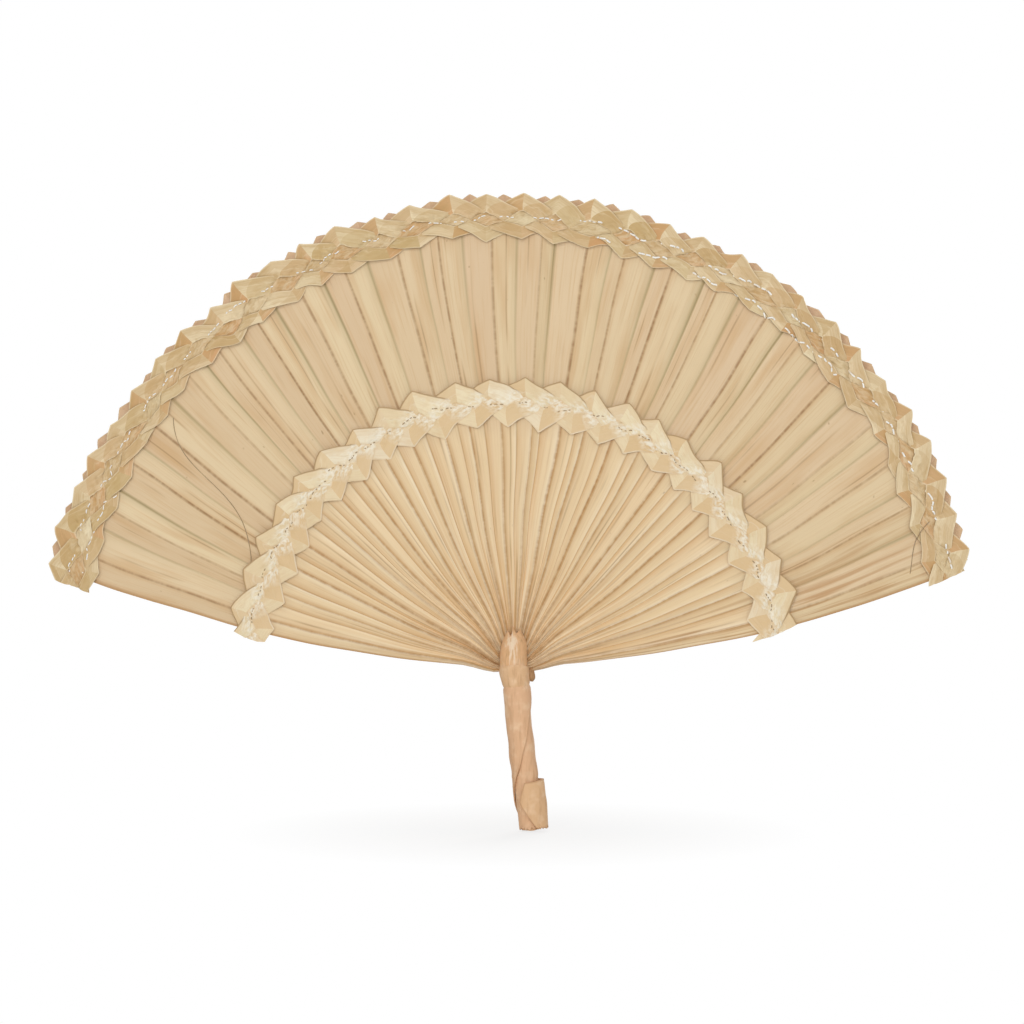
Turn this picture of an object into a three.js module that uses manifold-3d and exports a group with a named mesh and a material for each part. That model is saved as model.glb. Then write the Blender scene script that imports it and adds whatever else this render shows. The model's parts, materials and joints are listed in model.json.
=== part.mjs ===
// Palm leaf hand fan: pleated leaflets on a stalk, bound by plaited strips, with a wrapped handle.
// Millimetres. +Z points up the blade, +X to the right of the front face, and the front faces -Y.
// The origin is the middle of the grip, on the handle's axis.
import * as THREE from "three";
import { mergeVertices } from "three/addons/utils/BufferGeometryUtils.js";
import Module from "manifold-3d";

// Clearances between neighbouring pieces
const FIT_GAP = 0.3;
const WEAVE_GAP = 0.15;

// Blade: leaflets folded into ridges, spread round the hub
const RIM_RADIUS = 219;
const RIM_SPREAD_DEG = 155;
const BASE_SPREAD_DEG = 176;
const LEAFLET_COUNT = 24;
const LEAFLET_THICKNESS = 0.35;
const LEAFLET_BASE_RADIUS = 7.4;
const LEAFLET_TIP_INSET = 7;
const LEAFLET_STEPS = 7;
const PLEAT_BASE_DEPTH = 3.2;
const PLEAT_RIM_DEPTH = 1.6;

// Plaits: flat strips folded back and forth across a curved band
const STRIP_THICKNESS = 0.3;
const STRIP_COVER = 0.84;
const PLAIT_OVERHANG = 2.5;
const BACK_PLAIT_SHIFT = 0.5;
const OUTER_STRANDS = 4;
const OUTER_TEETH = 34;
const OUTER_WIDTH = 23.5;
const INNER_STRANDS = 3;
const INNER_TEETH = 23;
const INNER_WIDTH = 24.5;
const INNER_RADIUS = 122;

// Stalk: one carved piece whose forked head grips the leaflets
const HANDLE_LENGTH = 76;
const HANDLE_LEAN_DEG = 6;
const HANDLE_SHIFT = 0.8;
const GRIP_FROM_HUB = 40;
const STALK_RADIUS = 4.3;
const NECK_RADIUS = 5.8;
const HEAD_RADIUS = 6.9;
const TONGUE_LENGTH = 18.5;
const TONGUE_SHOULDER = 9;
const TONGUE_TIP_THICKNESS = 0.2;
const SLOT_MARGIN_DEG = 6;
const ROUND_SIDES = 24;

// Bindings on the handle
const NECK_BINDING_TOP = 3;
const NECK_BINDING_WIDTH = 5.5;
const NECK_BINDING_THICKNESS = 0.9;
const KNOT_RADIUS = 1.25;
const KNOT_LENGTH = 6.4;
const WRAP_THICKNESS = 0.6;
const WRAP_TURN_DEG = 400;
const WRAP_STEP_DEG = 20;
const WRAP_SEAM_DEG = 68;
const WRAP_TWIST_DEG_PER_MM = -2.9;
const WRAP_BUTT_INSET = 0.5;
const END_WRAP_LENGTH = 22;
const END_WRAP_TURN_DEG = 320;
const END_WRAP_START_DEG = -30;
const END_WRAP_SLANT_DEG = 35;
const END_FLAP_ANGLE_DEG = 95;
const END_FLAP_STANDOFF = 1.4;

const leafLook = { color: 0xdcc29c, roughness: 0.7, metalness: 0 };
const outerPlaitLook = { color: 0xd4b892, roughness: 0.6, metalness: 0 };
const backPlaitLook = { color: 0xc9a27c, roughness: 0.65, metalness: 0 };
const innerPlaitLook = { color: 0xe0cba6, roughness: 0.6, metalness: 0 };
const stalkLook = { color: 0xd7b692, roughness: 0.65, metalness: 0 };
const wrapLook = { color: 0xd4ab86, roughness: 0.75, metalness: 0 };

const wasm = await Module();
wasm.setup();

const { degToRad, lerp } = THREE.MathUtils;

// A closed solid for cutting, from a geometry's positions alone
function toSolid(geometry) {
  const bare = geometry.clone();
  bare.deleteAttribute("normal");
  bare.deleteAttribute("uv");
  const merged = mergeVertices(bare, 1e-3);
  return new wasm.Manifold(
    new wasm.Mesh({
      numProp: 3,
      vertProperties: new Float32Array(merged.attributes.position.array),
      triVerts: new Uint32Array(merged.index.array),
    }),
  );
}

function toGeometry(solid) {
  const { vertProperties, triVerts } = solid.getMesh();
  const geometry = new THREE.BufferGeometry();
  geometry.setAttribute("position", new THREE.BufferAttribute(vertProperties, 3));
  geometry.setIndex(new THREE.BufferAttribute(triVerts, 1));
  geometry.computeVertexNormals();
  return geometry;
}

// A sheet between two grids of points, rows running along it and columns across it
function sheet(upper, lower) {
  const rows = upper.length;
  const columns = upper[0].length;
  const points = [...upper.flat(), ...lower.flat()];
  const at = (row, column) => row * columns + column;
  const under = (row, column) => rows * columns + at(row, column);
  const index = [];
  const quad = (a, b, c, d) => index.push(a, b, c, a, c, d);
  for (let i = 0; i + 1 < rows; i++) {
    for (let j = 0; j + 1 < columns; j++) {
      quad(at(i, j), at(i, j + 1), at(i + 1, j + 1), at(i + 1, j));
      quad(under(i, j), under(i + 1, j), under(i + 1, j + 1), under(i, j + 1));
    }
    quad(at(i, 0), at(i + 1, 0), under(i + 1, 0), under(i, 0));
    const last = columns - 1;
    quad(at(i, last), under(i, last), under(i + 1, last), at(i + 1, last));
  }
  for (let j = 0; j + 1 < columns; j++) {
    const end = rows - 1;
    quad(at(0, j), under(0, j), under(0, j + 1), at(0, j + 1));
    quad(at(end, j), at(end, j + 1), under(end, j + 1), under(end, j));
  }
  const geometry = new THREE.BufferGeometry().setFromPoints(points);
  geometry.setIndex(index);
  geometry.computeVertexNormals();
  return geometry;
}

function mesh(name, geometry, look) {
  const made = new THREE.Mesh(geometry, new THREE.MeshStandardMaterial(look));
  made.name = name;
  return made;
}

// A point of the blade: angle from straight up towards +X, radius from the hub, depth along Y
function bladePoint(angle, radius, y) {
  return new THREE.Vector3(radius * Math.sin(angle), y, radius * Math.cos(angle));
}

function rimShare(radius) {
  return (radius - LEAFLET_BASE_RADIUS) / (RIM_RADIUS - LEAFLET_BASE_RADIUS);
}

function spreadAt(radius) {
  return degToRad(lerp(BASE_SPREAD_DEG, RIM_SPREAD_DEG, rimShare(radius)));
}

// Half of a leaflet's angle, the depth of its fold and its thickness measured along Y
function pleatAt(radius) {
  const halfAngle = spreadAt(radius) / LEAFLET_COUNT / 2 - FIT_GAP / 2 / radius;
  const depth = lerp(PLEAT_BASE_DEPTH, PLEAT_RIM_DEPTH, rimShare(radius));
  const slope = depth / (halfAngle * radius);
  return { halfAngle, depth, thickness: LEAFLET_THICKNESS * Math.hypot(1, slope) };
}

function bladeHalfDepth(radius) {
  const { depth, thickness } = pleatAt(radius);
  return (depth + thickness) / 2;
}

// One leaflet, its midrib folded forward and its edges back
function leaflet(place) {
  const tip = RIM_RADIUS - LEAFLET_TIP_INSET;
  const front = [];
  const back = [];
  for (let i = 0; i <= LEAFLET_STEPS; i++) {
    const radius = lerp(LEAFLET_BASE_RADIUS, tip, (i / LEAFLET_STEPS) ** 1.5);
    const { halfAngle, depth, thickness } = pleatAt(radius);
    const middle = (place - (LEAFLET_COUNT - 1) / 2) * (spreadAt(radius) / LEAFLET_COUNT);
    const across = [-1, 0, 1];
    const row = (offset) =>
      across.map((side) =>
        bladePoint(middle + side * halfAngle, radius, (Math.abs(side) - 0.5) * depth + offset),
      );
    front.push(row(-thickness / 2));
    back.push(row(thickness / 2));
  }
  return sheet(front, back);
}

const STRIP_LIFT = (STRIP_THICKNESS + WEAVE_GAP) / 2 / (1 - STRIP_COVER);
const PLAIT_HALF_DEPTH = STRIP_LIFT + STRIP_THICKNESS / 2;

// A plait's band: row height across it, angle of one tooth along it, and its middle depth
function plaitBand(strands, teeth, width, radius, side, shift) {
  const rowHeight = width / (strands / 2 + STRIP_COVER);
  const reach = spreadAt(radius) / 2 + PLAIT_OVERHANG / radius;
  const y = side * (bladeHalfDepth(radius - width / 2) + FIT_GAP + PLAIT_HALF_DEPTH);
  const tooth = (2 * reach) / teeth;
  return { strands, teeth, radius, side, shift, rowHeight, reach, y, tooth };
}

// The edges of a strip where it crosses another, or where it folds at the band's edge
function strandSections(band, number) {
  const { strands, teeth } = band;
  const shift = number + band.shift;
  const halfRun = strands / 2;
  const lean = STRIP_COVER / 4;
  const sections = [];
  const first = Math.floor(-shift / halfRun) - 1;
  for (let leg = first; shift + leg * halfRun < teeth + halfRun; leg++) {
    const start = shift + leg * halfRun;
    const down = leg % 2 === 0 ? -1 : 1;
    const edge = -down * (strands / 4);
    const fold = STRIP_COVER / 2;
    sections.push({ high: [start, edge + fold], low: [start, edge - fold], lift: 0 });
    for (let cross = 1; cross < strands; cross++) {
      const u = start + cross / 2;
      const v = edge + (down * cross) / 2;
      const row = down < 0 ? cross : strands - cross;
      const over = (row % 2 === 1) === down < 0;
      const high = [u - down * lean, v + lean];
      const low = [u + down * lean, v - lean];
      sections.push({ high, low, lift: over ? STRIP_LIFT : -STRIP_LIFT });
    }
  }
  return sections;
}

// The wedge of the blade that a plait covers, for trimming its strips square at both ends
function plaitWedge(band) {
  const outline = new THREE.Shape();
  const reach = 2 * RIM_RADIUS;
  const corners = 12;
  outline.moveTo(0, 0);
  for (let i = 0; i <= corners; i++) {
    const angle = lerp(-band.reach, band.reach, i / corners);
    outline.lineTo(reach * Math.sin(angle), reach * Math.cos(angle));
  }
  const depth = 4 * (Math.abs(band.y) + PLAIT_HALF_DEPTH);
  const wedge = new THREE.ExtrudeGeometry(outline, { depth, bevelEnabled: false });
  wedge.translate(0, 0, -depth / 2).rotateX(Math.PI / 2);
  return toSolid(wedge);
}

// One strip of a plait, zigzagging from edge to edge and passing over and under the others
function strand(band, number) {
  const { radius, side, rowHeight, reach, y, tooth } = band;
  const place = ([u, v], offset) =>
    bladePoint(u * tooth - reach, radius + v * rowHeight, y + offset);
  const front = [];
  const back = [];
  for (const { high, low, lift } of strandSections(band, number)) {
    const middle = side * lift;
    const half = STRIP_THICKNESS / 2;
    front.push([place(high, middle - half), place(low, middle - half)]);
    back.push([place(high, middle + half), place(low, middle + half)]);
  }
  const zigzag = toSolid(sheet(front, back));
  return toGeometry(zigzag.intersect(plaitWedge(band)));
}

// A point round the handle: angle from the front towards +X, distance below the hub
function handlePoint(angle, radius, below) {
  return new THREE.Vector3(radius * Math.sin(angle), -radius * Math.cos(angle), -below);
}

// A solid of revolution about the handle's axis, from [radius, height above the hub] pairs
function turned(profile) {
  const points = profile.map(([radius, height]) => new THREE.Vector2(radius, height));
  return new THREE.LatheGeometry(points, ROUND_SIDES).rotateX(Math.PI / 2);
}

const leanAngle = degToRad(HANDLE_LEAN_DEG);
const neckEnd = NECK_BINDING_TOP + NECK_BINDING_WIDTH;

// The room round the hub that the leaflets need inside the stalk's forked head
function leafletSlot() {
  const outline = new THREE.Shape();
  const half = BASE_SPREAD_DEG / 2 + SLOT_MARGIN_DEG;
  const from = degToRad(90 - half);
  const to = degToRad(90 + half);
  const inner = LEAFLET_BASE_RADIUS - FIT_GAP;
  const outer = LEAFLET_BASE_RADIUS + TONGUE_LENGTH + HEAD_RADIUS;
  outline.absarc(0, 0, outer, from, to, false);
  outline.absarc(0, 0, inner, to, from, true);
  const depth = 2 * (bladeHalfDepth(LEAFLET_BASE_RADIUS) + FIT_GAP);
  const options = { depth, bevelEnabled: false, curveSegments: ROUND_SIDES };
  const slot = new THREE.ExtrudeGeometry(outline, options);
  slot.translate(0, 0, -depth / 2).rotateX(Math.PI / 2);
  slot.translate(-HANDLE_SHIFT, 0, 0).rotateY(leanAngle);
  return toSolid(slot);
}

// The stalk runs the handle's length and ends in a pointed tongue before and behind the leaflets
function stalk() {
  const tipRadius = bladeHalfDepth(LEAFLET_BASE_RADIUS) + FIT_GAP + TONGUE_TIP_THICKNESS;
  const rod = turned([
    [0, -HANDLE_LENGTH],
    [STALK_RADIUS, -HANDLE_LENGTH],
    [STALK_RADIUS, -neckEnd],
    [NECK_RADIUS, -neckEnd + FIT_GAP],
    [NECK_RADIUS, -NECK_BINDING_TOP],
    [HEAD_RADIUS, -NECK_BINDING_TOP + FIT_GAP],
    [HEAD_RADIUS, TONGUE_SHOULDER],
    [lerp(HEAD_RADIUS, tipRadius, 0.4), lerp(TONGUE_SHOULDER, TONGUE_LENGTH, 0.6)],
    [tipRadius, TONGUE_LENGTH],
    [0, TONGUE_LENGTH],
  ]);
  return toGeometry(toSolid(rod).subtract(leafletSlot()));
}

const neckOuterRadius = NECK_RADIUS + FIT_GAP + NECK_BINDING_THICKNESS;

function neckBinding() {
  const inner = NECK_RADIUS + FIT_GAP;
  const top = -NECK_BINDING_TOP - FIT_GAP;
  const bottom = -neckEnd;
  return turned([
    [inner, bottom],
    [neckOuterRadius, bottom],
    [neckOuterRadius, top],
    [inner, top],
    [inner, bottom],
  ]);
}

// The rolled end of the neck binding, a bean at its right side
function neckKnot() {
  const bean = new THREE.SphereGeometry(KNOT_RADIUS, 12, 8);
  bean.scale(1, 1, KNOT_LENGTH / 2 / KNOT_RADIUS);
  const middle = NECK_BINDING_TOP + NECK_BINDING_WIDTH / 2;
  return bean.translate(neckOuterRadius + FIT_GAP + KNOT_RADIUS, 0, -middle);
}

// A strip rolled round the handle: reach along it, angles round it and how its radius grows
function rolledStrip({ from, to, steps, turns, startAt, radiusAt }) {
  const outer = [];
  const inner = [];
  for (let i = 0; i <= steps; i++) {
    const share = i / steps;
    const below = lerp(from, to, share);
    const angles = Array.from({ length: turns + 1 }, (_, j) => j * degToRad(WRAP_STEP_DEG));
    const start = startAt(share, below);
    const row = (offset) =>
      angles.map((turn) => handlePoint(start + turn, radiusAt(turn, start) + offset, below));
    inner.push(row(0));
    outer.push(row(WRAP_THICKNESS));
  }
  return sheet(inner, outer);
}

const wrapInnerRadius = STALK_RADIUS + FIT_GAP;
const wrapGrowth = WRAP_THICKNESS + FIT_GAP;
const wrapOuterRadius = wrapInnerRadius + (wrapGrowth * WRAP_TURN_DEG) / 360 + WRAP_THICKNESS;
const wrapEnd = HANDLE_LENGTH - WRAP_BUTT_INSET;

// The long wrap overlaps itself, and its free edge winds down the handle
function handleWrap() {
  const from = neckEnd + FIT_GAP;
  const seam = (below) => degToRad(WRAP_SEAM_DEG + WRAP_TWIST_DEG_PER_MM * (below - from));
  return rolledStrip({
    from,
    to: wrapEnd,
    steps: 9,
    turns: Math.round(WRAP_TURN_DEG / WRAP_STEP_DEG),
    startAt: (share, below) => seam(below) - degToRad(WRAP_TURN_DEG),
    radiusAt: (turn) => wrapInnerRadius + (wrapGrowth * turn) / (2 * Math.PI),
  });
}

// The short wrap at the butt ends in a slanted tab in front and stands off at the right
function endWrap() {
  const flap = degToRad(END_FLAP_ANGLE_DEG);
  const standOff = (angle) => END_FLAP_STANDOFF * Math.max(0, Math.cos(angle - flap)) ** 6;
  return rolledStrip({
    from: wrapEnd - END_WRAP_LENGTH,
    to: wrapEnd,
    steps: 4,
    turns: Math.round(END_WRAP_TURN_DEG / WRAP_STEP_DEG),
    startAt: (share) => degToRad(END_WRAP_START_DEG + share * END_WRAP_SLANT_DEG),
    radiusAt: (turn, start) => wrapOuterRadius + FIT_GAP + standOff(start + turn),
  });
}

function addPlait(group, name, band, look) {
  for (let i = 0; i < band.strands; i++) {
    group.add(mesh(`${name}_strand_${i + 1}`, strand(band, i), look));
  }
}

function blade() {
  const group = new THREE.Group();
  for (let i = 0; i < LEAFLET_COUNT; i++) {
    const number = String(i + 1).padStart(2, "0");
    group.add(mesh(`leaflet_${number}`, leaflet(i), leafLook));
  }
  const outerRadius = RIM_RADIUS - OUTER_WIDTH / 2;
  const front = plaitBand(OUTER_STRANDS, OUTER_TEETH, OUTER_WIDTH, outerRadius, -1, 0);
  const back = plaitBand(
    OUTER_STRANDS,
    OUTER_TEETH,
    OUTER_WIDTH,
    outerRadius,
    1,
    BACK_PLAIT_SHIFT,
  );
  const inner = plaitBand(INNER_STRANDS, INNER_TEETH, INNER_WIDTH, INNER_RADIUS, -1, 0);
  addPlait(group, "outer_front_plait", front, outerPlaitLook);
  addPlait(group, "outer_back_plait", back, backPlaitLook);
  addPlait(group, "inner_plait", inner, innerPlaitLook);
  return group;
}

function handle() {
  const group = new THREE.Group();
  group.add(mesh("stalk", stalk(), stalkLook));
  group.add(mesh("neck_binding", neckBinding(), stalkLook));
  group.add(mesh("neck_knot", neckKnot(), wrapLook));
  group.add(mesh("handle_wrap", handleWrap(), wrapLook));
  group.add(mesh("end_wrap", endWrap(), wrapLook));
  group.position.x = HANDLE_SHIFT;
  group.rotation.y = -leanAngle;
  return group;
}

const fan = new THREE.Group();
fan.add(blade(), handle());
fan.position.x = -HANDLE_SHIFT - GRIP_FROM_HUB * Math.sin(leanAngle);
fan.position.z = GRIP_FROM_HUB * Math.cos(leanAngle);

const root = new THREE.Group();
root.add(fan);

export default root;
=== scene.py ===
import json
import math
import random

import bmesh
import bpy
from bpy.props import FloatProperty, FloatVectorProperty, IntProperty, PointerProperty
from bpy.types import Operator, Panel, PropertyGroup
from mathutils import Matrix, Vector

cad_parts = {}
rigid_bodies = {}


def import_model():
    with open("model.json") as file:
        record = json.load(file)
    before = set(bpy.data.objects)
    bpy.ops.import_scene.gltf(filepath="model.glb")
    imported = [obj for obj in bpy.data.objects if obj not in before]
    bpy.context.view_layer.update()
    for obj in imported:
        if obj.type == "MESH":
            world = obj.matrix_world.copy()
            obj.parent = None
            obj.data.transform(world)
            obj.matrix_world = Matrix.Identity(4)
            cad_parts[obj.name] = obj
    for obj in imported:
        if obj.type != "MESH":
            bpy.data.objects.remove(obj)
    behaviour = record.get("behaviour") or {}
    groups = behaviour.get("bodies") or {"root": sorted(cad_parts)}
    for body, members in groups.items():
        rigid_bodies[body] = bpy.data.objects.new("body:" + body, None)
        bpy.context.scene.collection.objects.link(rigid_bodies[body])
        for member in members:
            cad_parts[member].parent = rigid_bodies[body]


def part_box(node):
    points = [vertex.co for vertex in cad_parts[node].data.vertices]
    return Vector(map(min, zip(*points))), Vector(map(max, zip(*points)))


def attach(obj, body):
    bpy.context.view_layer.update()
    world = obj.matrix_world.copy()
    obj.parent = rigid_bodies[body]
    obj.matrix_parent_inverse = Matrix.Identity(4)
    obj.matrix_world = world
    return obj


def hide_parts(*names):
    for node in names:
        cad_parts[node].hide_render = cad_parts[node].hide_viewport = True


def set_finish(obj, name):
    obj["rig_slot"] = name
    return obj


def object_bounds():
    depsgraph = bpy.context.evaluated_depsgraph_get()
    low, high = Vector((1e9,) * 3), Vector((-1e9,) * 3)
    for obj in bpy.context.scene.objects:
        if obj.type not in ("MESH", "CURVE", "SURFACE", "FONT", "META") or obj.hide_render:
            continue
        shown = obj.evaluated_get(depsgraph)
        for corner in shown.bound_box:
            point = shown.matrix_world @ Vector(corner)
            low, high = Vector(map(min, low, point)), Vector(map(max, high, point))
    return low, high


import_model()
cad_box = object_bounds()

bl_info = {
    "name": "Palm leaf fan",
    "version": (1, 0, 0),
    "blender": (4, 5, 0),
    "location": "View3D > Sidebar > Fan",
    "description": "A pleated palm leaf hand fan with plaited edges and a wrapped handle",
    "category": "Object",
}

MM = 0.001
FRONT, BACK = -1, 1


def linear(code):
    """An sRGB hex value as linear red, green and blue, with a full alpha."""
    shares = [int(code[place : place + 2], 16) / 255 for place in (1, 3, 5)]
    curved = [s / 12.92 if s <= 0.04045 else ((s + 0.055) / 1.055) ** 2.4 for s in shares]
    return (*curved, 1.0)


def lerp(first, last, share):
    return first + (last - first) * share


def length(name, description, millimetres):
    settings = {"default": millimetres * MM, "precision": 5, "unit": "LENGTH", "subtype": "DISTANCE"}
    return FloatProperty(name=name, description=description, **settings)


def angle(name, description, degrees):
    settings = {"default": math.radians(degrees), "unit": "ROTATION", "subtype": "ANGLE"}
    return FloatProperty(name=name, description=description, **settings)


def share(name, description, part):
    settings = {"default": part, "min": 0, "max": 1, "subtype": "FACTOR"}
    return FloatProperty(name=name, description=description, **settings)


def count(name, description, number):
    return IntProperty(name=name, description=description, default=number, min=1)


def colour(name, description, code):
    settings = {"default": linear(code), "size": 4, "min": 0, "max": 1, "subtype": "COLOR"}
    return FloatVectorProperty(name=name, description=description, **settings)


class FanBlade(PropertyGroup):
    """Sizes of the pleated leaf."""

    leaflets: count("Leaflets", "Folded segments of the leaf", 24)
    rim_radius: length("Rim radius", "Hub to the tips of the outer plait", 219)
    base_radius: length("Base radius", "Hub to the inner ends of the leaflets", 4.6)
    tip_inset: length("Tip inset", "How far the leaflets stop short of the rim", 7)
    rim_spread: angle("Rim spread", "Angle of the whole leaf at its rim", 155)
    base_spread: angle("Base spread", "Angle of the whole leaf near the hub", 176)
    flare: angle("Flare", "How much wider the leaf opens inside the head", 50)
    flare_reach: length("Flare reach", "How far from the head the leaf flares", 20)
    base_depth: length("Base depth", "Depth of the pleats near the hub", 3.0)
    base_flat: share("Base flat", "How much the pleats are pressed flat at the hub", 0.6)
    rim_depth: length("Rim depth", "Depth of the pleats at the rim", 1.6)
    thickness: length("Thickness", "Thickness of the dried leaf", 0.35)


class FanPlaits(PropertyGroup):
    """Sizes of the plaited bands."""

    outer_strands: count("Outer strands", "Strips in each outer plait", 4)
    outer_teeth: count("Outer teeth", "Teeth along each outer plait", 34)
    outer_width: length("Outer width", "Width of each outer plait", 21.8)
    outer_share: share("Outer share", "Part of an outer plait that lies outside its middle row", 0.6)
    inner_strands: count("Inner strands", "Strips in the inner plait", 3)
    inner_teeth: count("Inner teeth", "Teeth along the inner plait", 23)
    inner_width: length("Inner width", "Width of the inner plait", 24.5)
    inner_radius: length("Inner radius", "Hub to the middle of the inner plait", 122)
    overhang: length("Overhang", "How far a plait runs past the leaf's edge", 2.5)
    thickness: length("Thickness", "Thickness of a strip", 0.3)
    lift: length("Lift", "How far an outer strip rises over one that it crosses", 0.75)
    inner_lift: length("Inner lift", "How far an inner strip rises over one that it crosses", 0.4)
    cover: FloatProperty(
        name="Cover", description="Width of a strip over the height of a row", default=1.04, min=0.5
    )
    thread: length("Thread", "Thickness of the sewing thread", 0.6)


class FanHandle(PropertyGroup):
    """Sizes of the stalk and its wraps."""

    length: length("Length", "Hub to the butt", 76)
    lean: angle("Lean", "How far the handle leans to the right", 6)
    offset: length("Offset", "How far the handle's top sits right of the hub", 0.8)
    grip: length("Grip", "Hub to the middle of the grip", 40)
    stalk_radius: length("Stalk radius", "Radius of the stalk inside the wraps", 4.3)
    neck_radius: length("Neck radius", "Radius of the stalk inside the neck binding", 5.8)
    head_radius: length("Head radius", "Radius of the head that holds the leaf", 6.9)
    tongue: length("Tongue", "Height of the tongue above the hub", 18.8)
    neck_top: length("Neck top", "Hub to the top of the neck binding", 1.2)
    neck_end: length("Neck end", "Hub to the foot of the neck binding", 9.5)
    neck_flare: length("Neck flare", "How much wider the neck binding is at its top", 0.75)
    wrap_thickness: length("Wrap thickness", "Thickness of the wrap strips", 0.6)
    wrap_turn: angle("Wrap turn", "How far round the long wrap goes", 400)
    seam: angle("Seam", "Where the long wrap's seam starts, from the front", 102)
    seam_twist: angle("Seam twist", "How far the seam winds down the handle", -211)
    end_wrap: length("End wrap", "Height of the short wrap at the butt", 22)


class FanColours(PropertyGroup):
    """Colours of the leaf, the strips and the thread."""

    leaf: colour("Leaf", "Pinkish facets of the dried leaf", "#DCC09A")
    # Facets right of each rib take this as painted light, other facets take it at random
    leaf_pale: colour("Pale leaf", "Yellowish facets of the leaf", "#E5CFA6")
    # Also the painted shade beside the ribs and after the folds inside the inner plait
    leaf_warm: colour("Warm leaf", "Tan blotches and veins on the leaf", "#CFA877")
    leaf_inner: colour("Inner leaf", "The leaf inside the inner plait", "#EFD5AA")
    leaf_hub: colour("Hub leaf", "The leaf where its pleats meet", "#DDB47F")
    # Also the painted highlights on lit facets at the hub and before each fold inside the inner
    # plait
    leaf_streak: colour("Leaf streak", "Peeled streaks near the hub", "#F6E6C8")
    rib: colour("Rib", "Brown rib along each ridge", "#93693B")
    fold: colour("Fold", "Golden brown folds inside the inner plait", "#B08048")
    rolled: colour("Rolled edge", "Brown rolled edges of the whole leaf", "#B98A57")
    # Painted shade in the valleys
    valley: colour("Valley", "Grey-green line along each valley", "#9B8757")
    strip: colour("Strip", "Middle tone of the outer plait", "#D9BA8E")
    # Also the painted light on cells, teeth, creases and crumples, and the painted highlight along
    # folded edges
    strip_pale: colour("Pale strip", "Palest strips and folded edges", "#EEDDB8")
    # Also the painted shade on cells and beyond creases
    strip_dull: colour("Dull strip", "Fibres and dull strips of the outer plait", "#BF9B62")
    strip_orange: colour("Orange strip", "Every other strip with its inner side out", "#CE9A63")
    strip_olive: colour("Olive strip", "Greenish strips of the outer plait", "#C8AB75")
    strip_gap: colour("Strip gap", "Shaded gaps between the strips", "#9A774A")
    back_strip: colour("Back strip", "Middle tone of the back plait", "#E8C7A2")
    # Also the painted shade in the gaps, on cells and beyond creases of the back plait
    back_dark: colour("Dark back strip", "Weathered strips of the back plait", "#D6AE88")
    cream_strip: colour("Cream strip", "Pale strips of the inner plait", "#E8D6B0")
    # Also the painted highlights on creases, crumples and the inner teeth's edges
    cream_white: colour("White strip", "Palest strips and crumples of the inner plait", "#F5ECD8")
    # Also the painted shade in the gaps, beyond creases and on one half of the inner teeth
    cream_tan: colour("Tan strip", "Inner plait's strips with their dull side out", "#DEBF90")
    # Drawn as a brown line round the inner plait's outer teeth
    cream_edge: colour("Strip edge", "Brown cut edges of the inner plait's strips", "#A58254")
    stalk: colour("Stalk", "Peeled stem", "#E3B586")
    stalk_pale: colour("Pale stalk", "Torn patch on the tongue", "#F0DDC2")
    stalk_streak: colour("Stalk streak", "Dark fibres of the stem", "#A97F52")
    binding: colour("Binding", "Yellowish strip round the neck", "#E1B88C")
    wrap: colour("Wrap", "Wrap round the handle", "#E2B68E")
    wrap_pale: colour("Pale wrap", "Palest fibres of the wrap", "#EFCDA8")
    wrap_dark: colour("Dark wrap", "Darkest fibres of the wrap", "#BD8F66")
    knot: colour("Knot", "Dark roll at the neck", "#A67E55")
    knot_dark: colour("Dark knot", "Shaded fibres of the roll", "#6B4925")
    # Its white is a painted glint of the clear thread
    thread: colour("Thread", "Clear sewing thread", "#FFFDF6")
    # Painted shade of a clear thread: the loose ends and the middle seam's front stitches
    shadowed: colour("Shadowed thread", "Loose ends of thread", "#A08868")


class FanSettings(PropertyGroup):
    """All that a user would change on the fan."""

    blade: PointerProperty(type=FanBlade)
    plaits: PointerProperty(type=FanPlaits)
    handle: PointerProperty(type=FanHandle)
    colours: PointerProperty(type=FanColours)


# Hand tools


def clear():
    """Leaves edit mode with nothing selected, before a new primitive."""
    if bpy.context.mode != "OBJECT":
        bpy.ops.object.mode_set(mode="OBJECT")
    bpy.ops.object.select_all(action="DESELECT")


def only(piece):
    """Makes a piece the one that is selected and active, in object mode."""
    clear()
    piece.select_set(True)
    bpy.context.view_layer.objects.active = piece


def open_mesh(piece, selection="DESELECT"):
    """Opens a piece's mesh for editing, with none or all of it selected."""
    only(piece)
    bpy.ops.object.mode_set(mode="EDIT")
    bpy.ops.mesh.select_mode(type="VERT")
    bpy.ops.mesh.select_all(action=selection)


def close_mesh():
    bpy.ops.object.mode_set(mode="OBJECT")


def pick(piece, test):
    """Selects the vertices of an open mesh whose number and place pass a test."""
    mesh = bmesh.from_edit_mesh(piece.data)
    mesh.verts.index_update()
    for vertex in mesh.verts:
        vertex.select_set(bool(test(vertex.index, vertex.co)))
    mesh.select_flush_mode()
    bmesh.update_edit_mesh(piece.data, loop_triangles=False, destructive=False)


def shift(x=0.0, y=0.0, z=0.0):
    bpy.ops.transform.translate(value=(x, y, z))


def move(piece, test, x=0.0, y=0.0, z=0.0):
    """Moves the vertices of an open mesh that pass a test."""
    pick(piece, test)
    shift(x, y, z)


def stretch(x, y, z, centre):
    """Scales what is selected about a place of its own."""
    bpy.ops.transform.resize(value=(x, y, z), center_override=centre)


def add_grid(columns, rows, **place):
    """A flat grid, its vertices numbered row by row."""
    clear()
    bpy.ops.mesh.primitive_grid_add(x_subdivisions=columns, y_subdivisions=rows, size=1, **place)
    return bpy.context.object


def in_grid(columns, row=None, column=None):
    """A test for one row, one column or one vertex of a grid with so many columns of faces."""

    def test(number, place):
        at_row, at_column = divmod(number, columns + 1)
        return row in (None, at_row) and column in (None, at_column)

    return test


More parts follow.
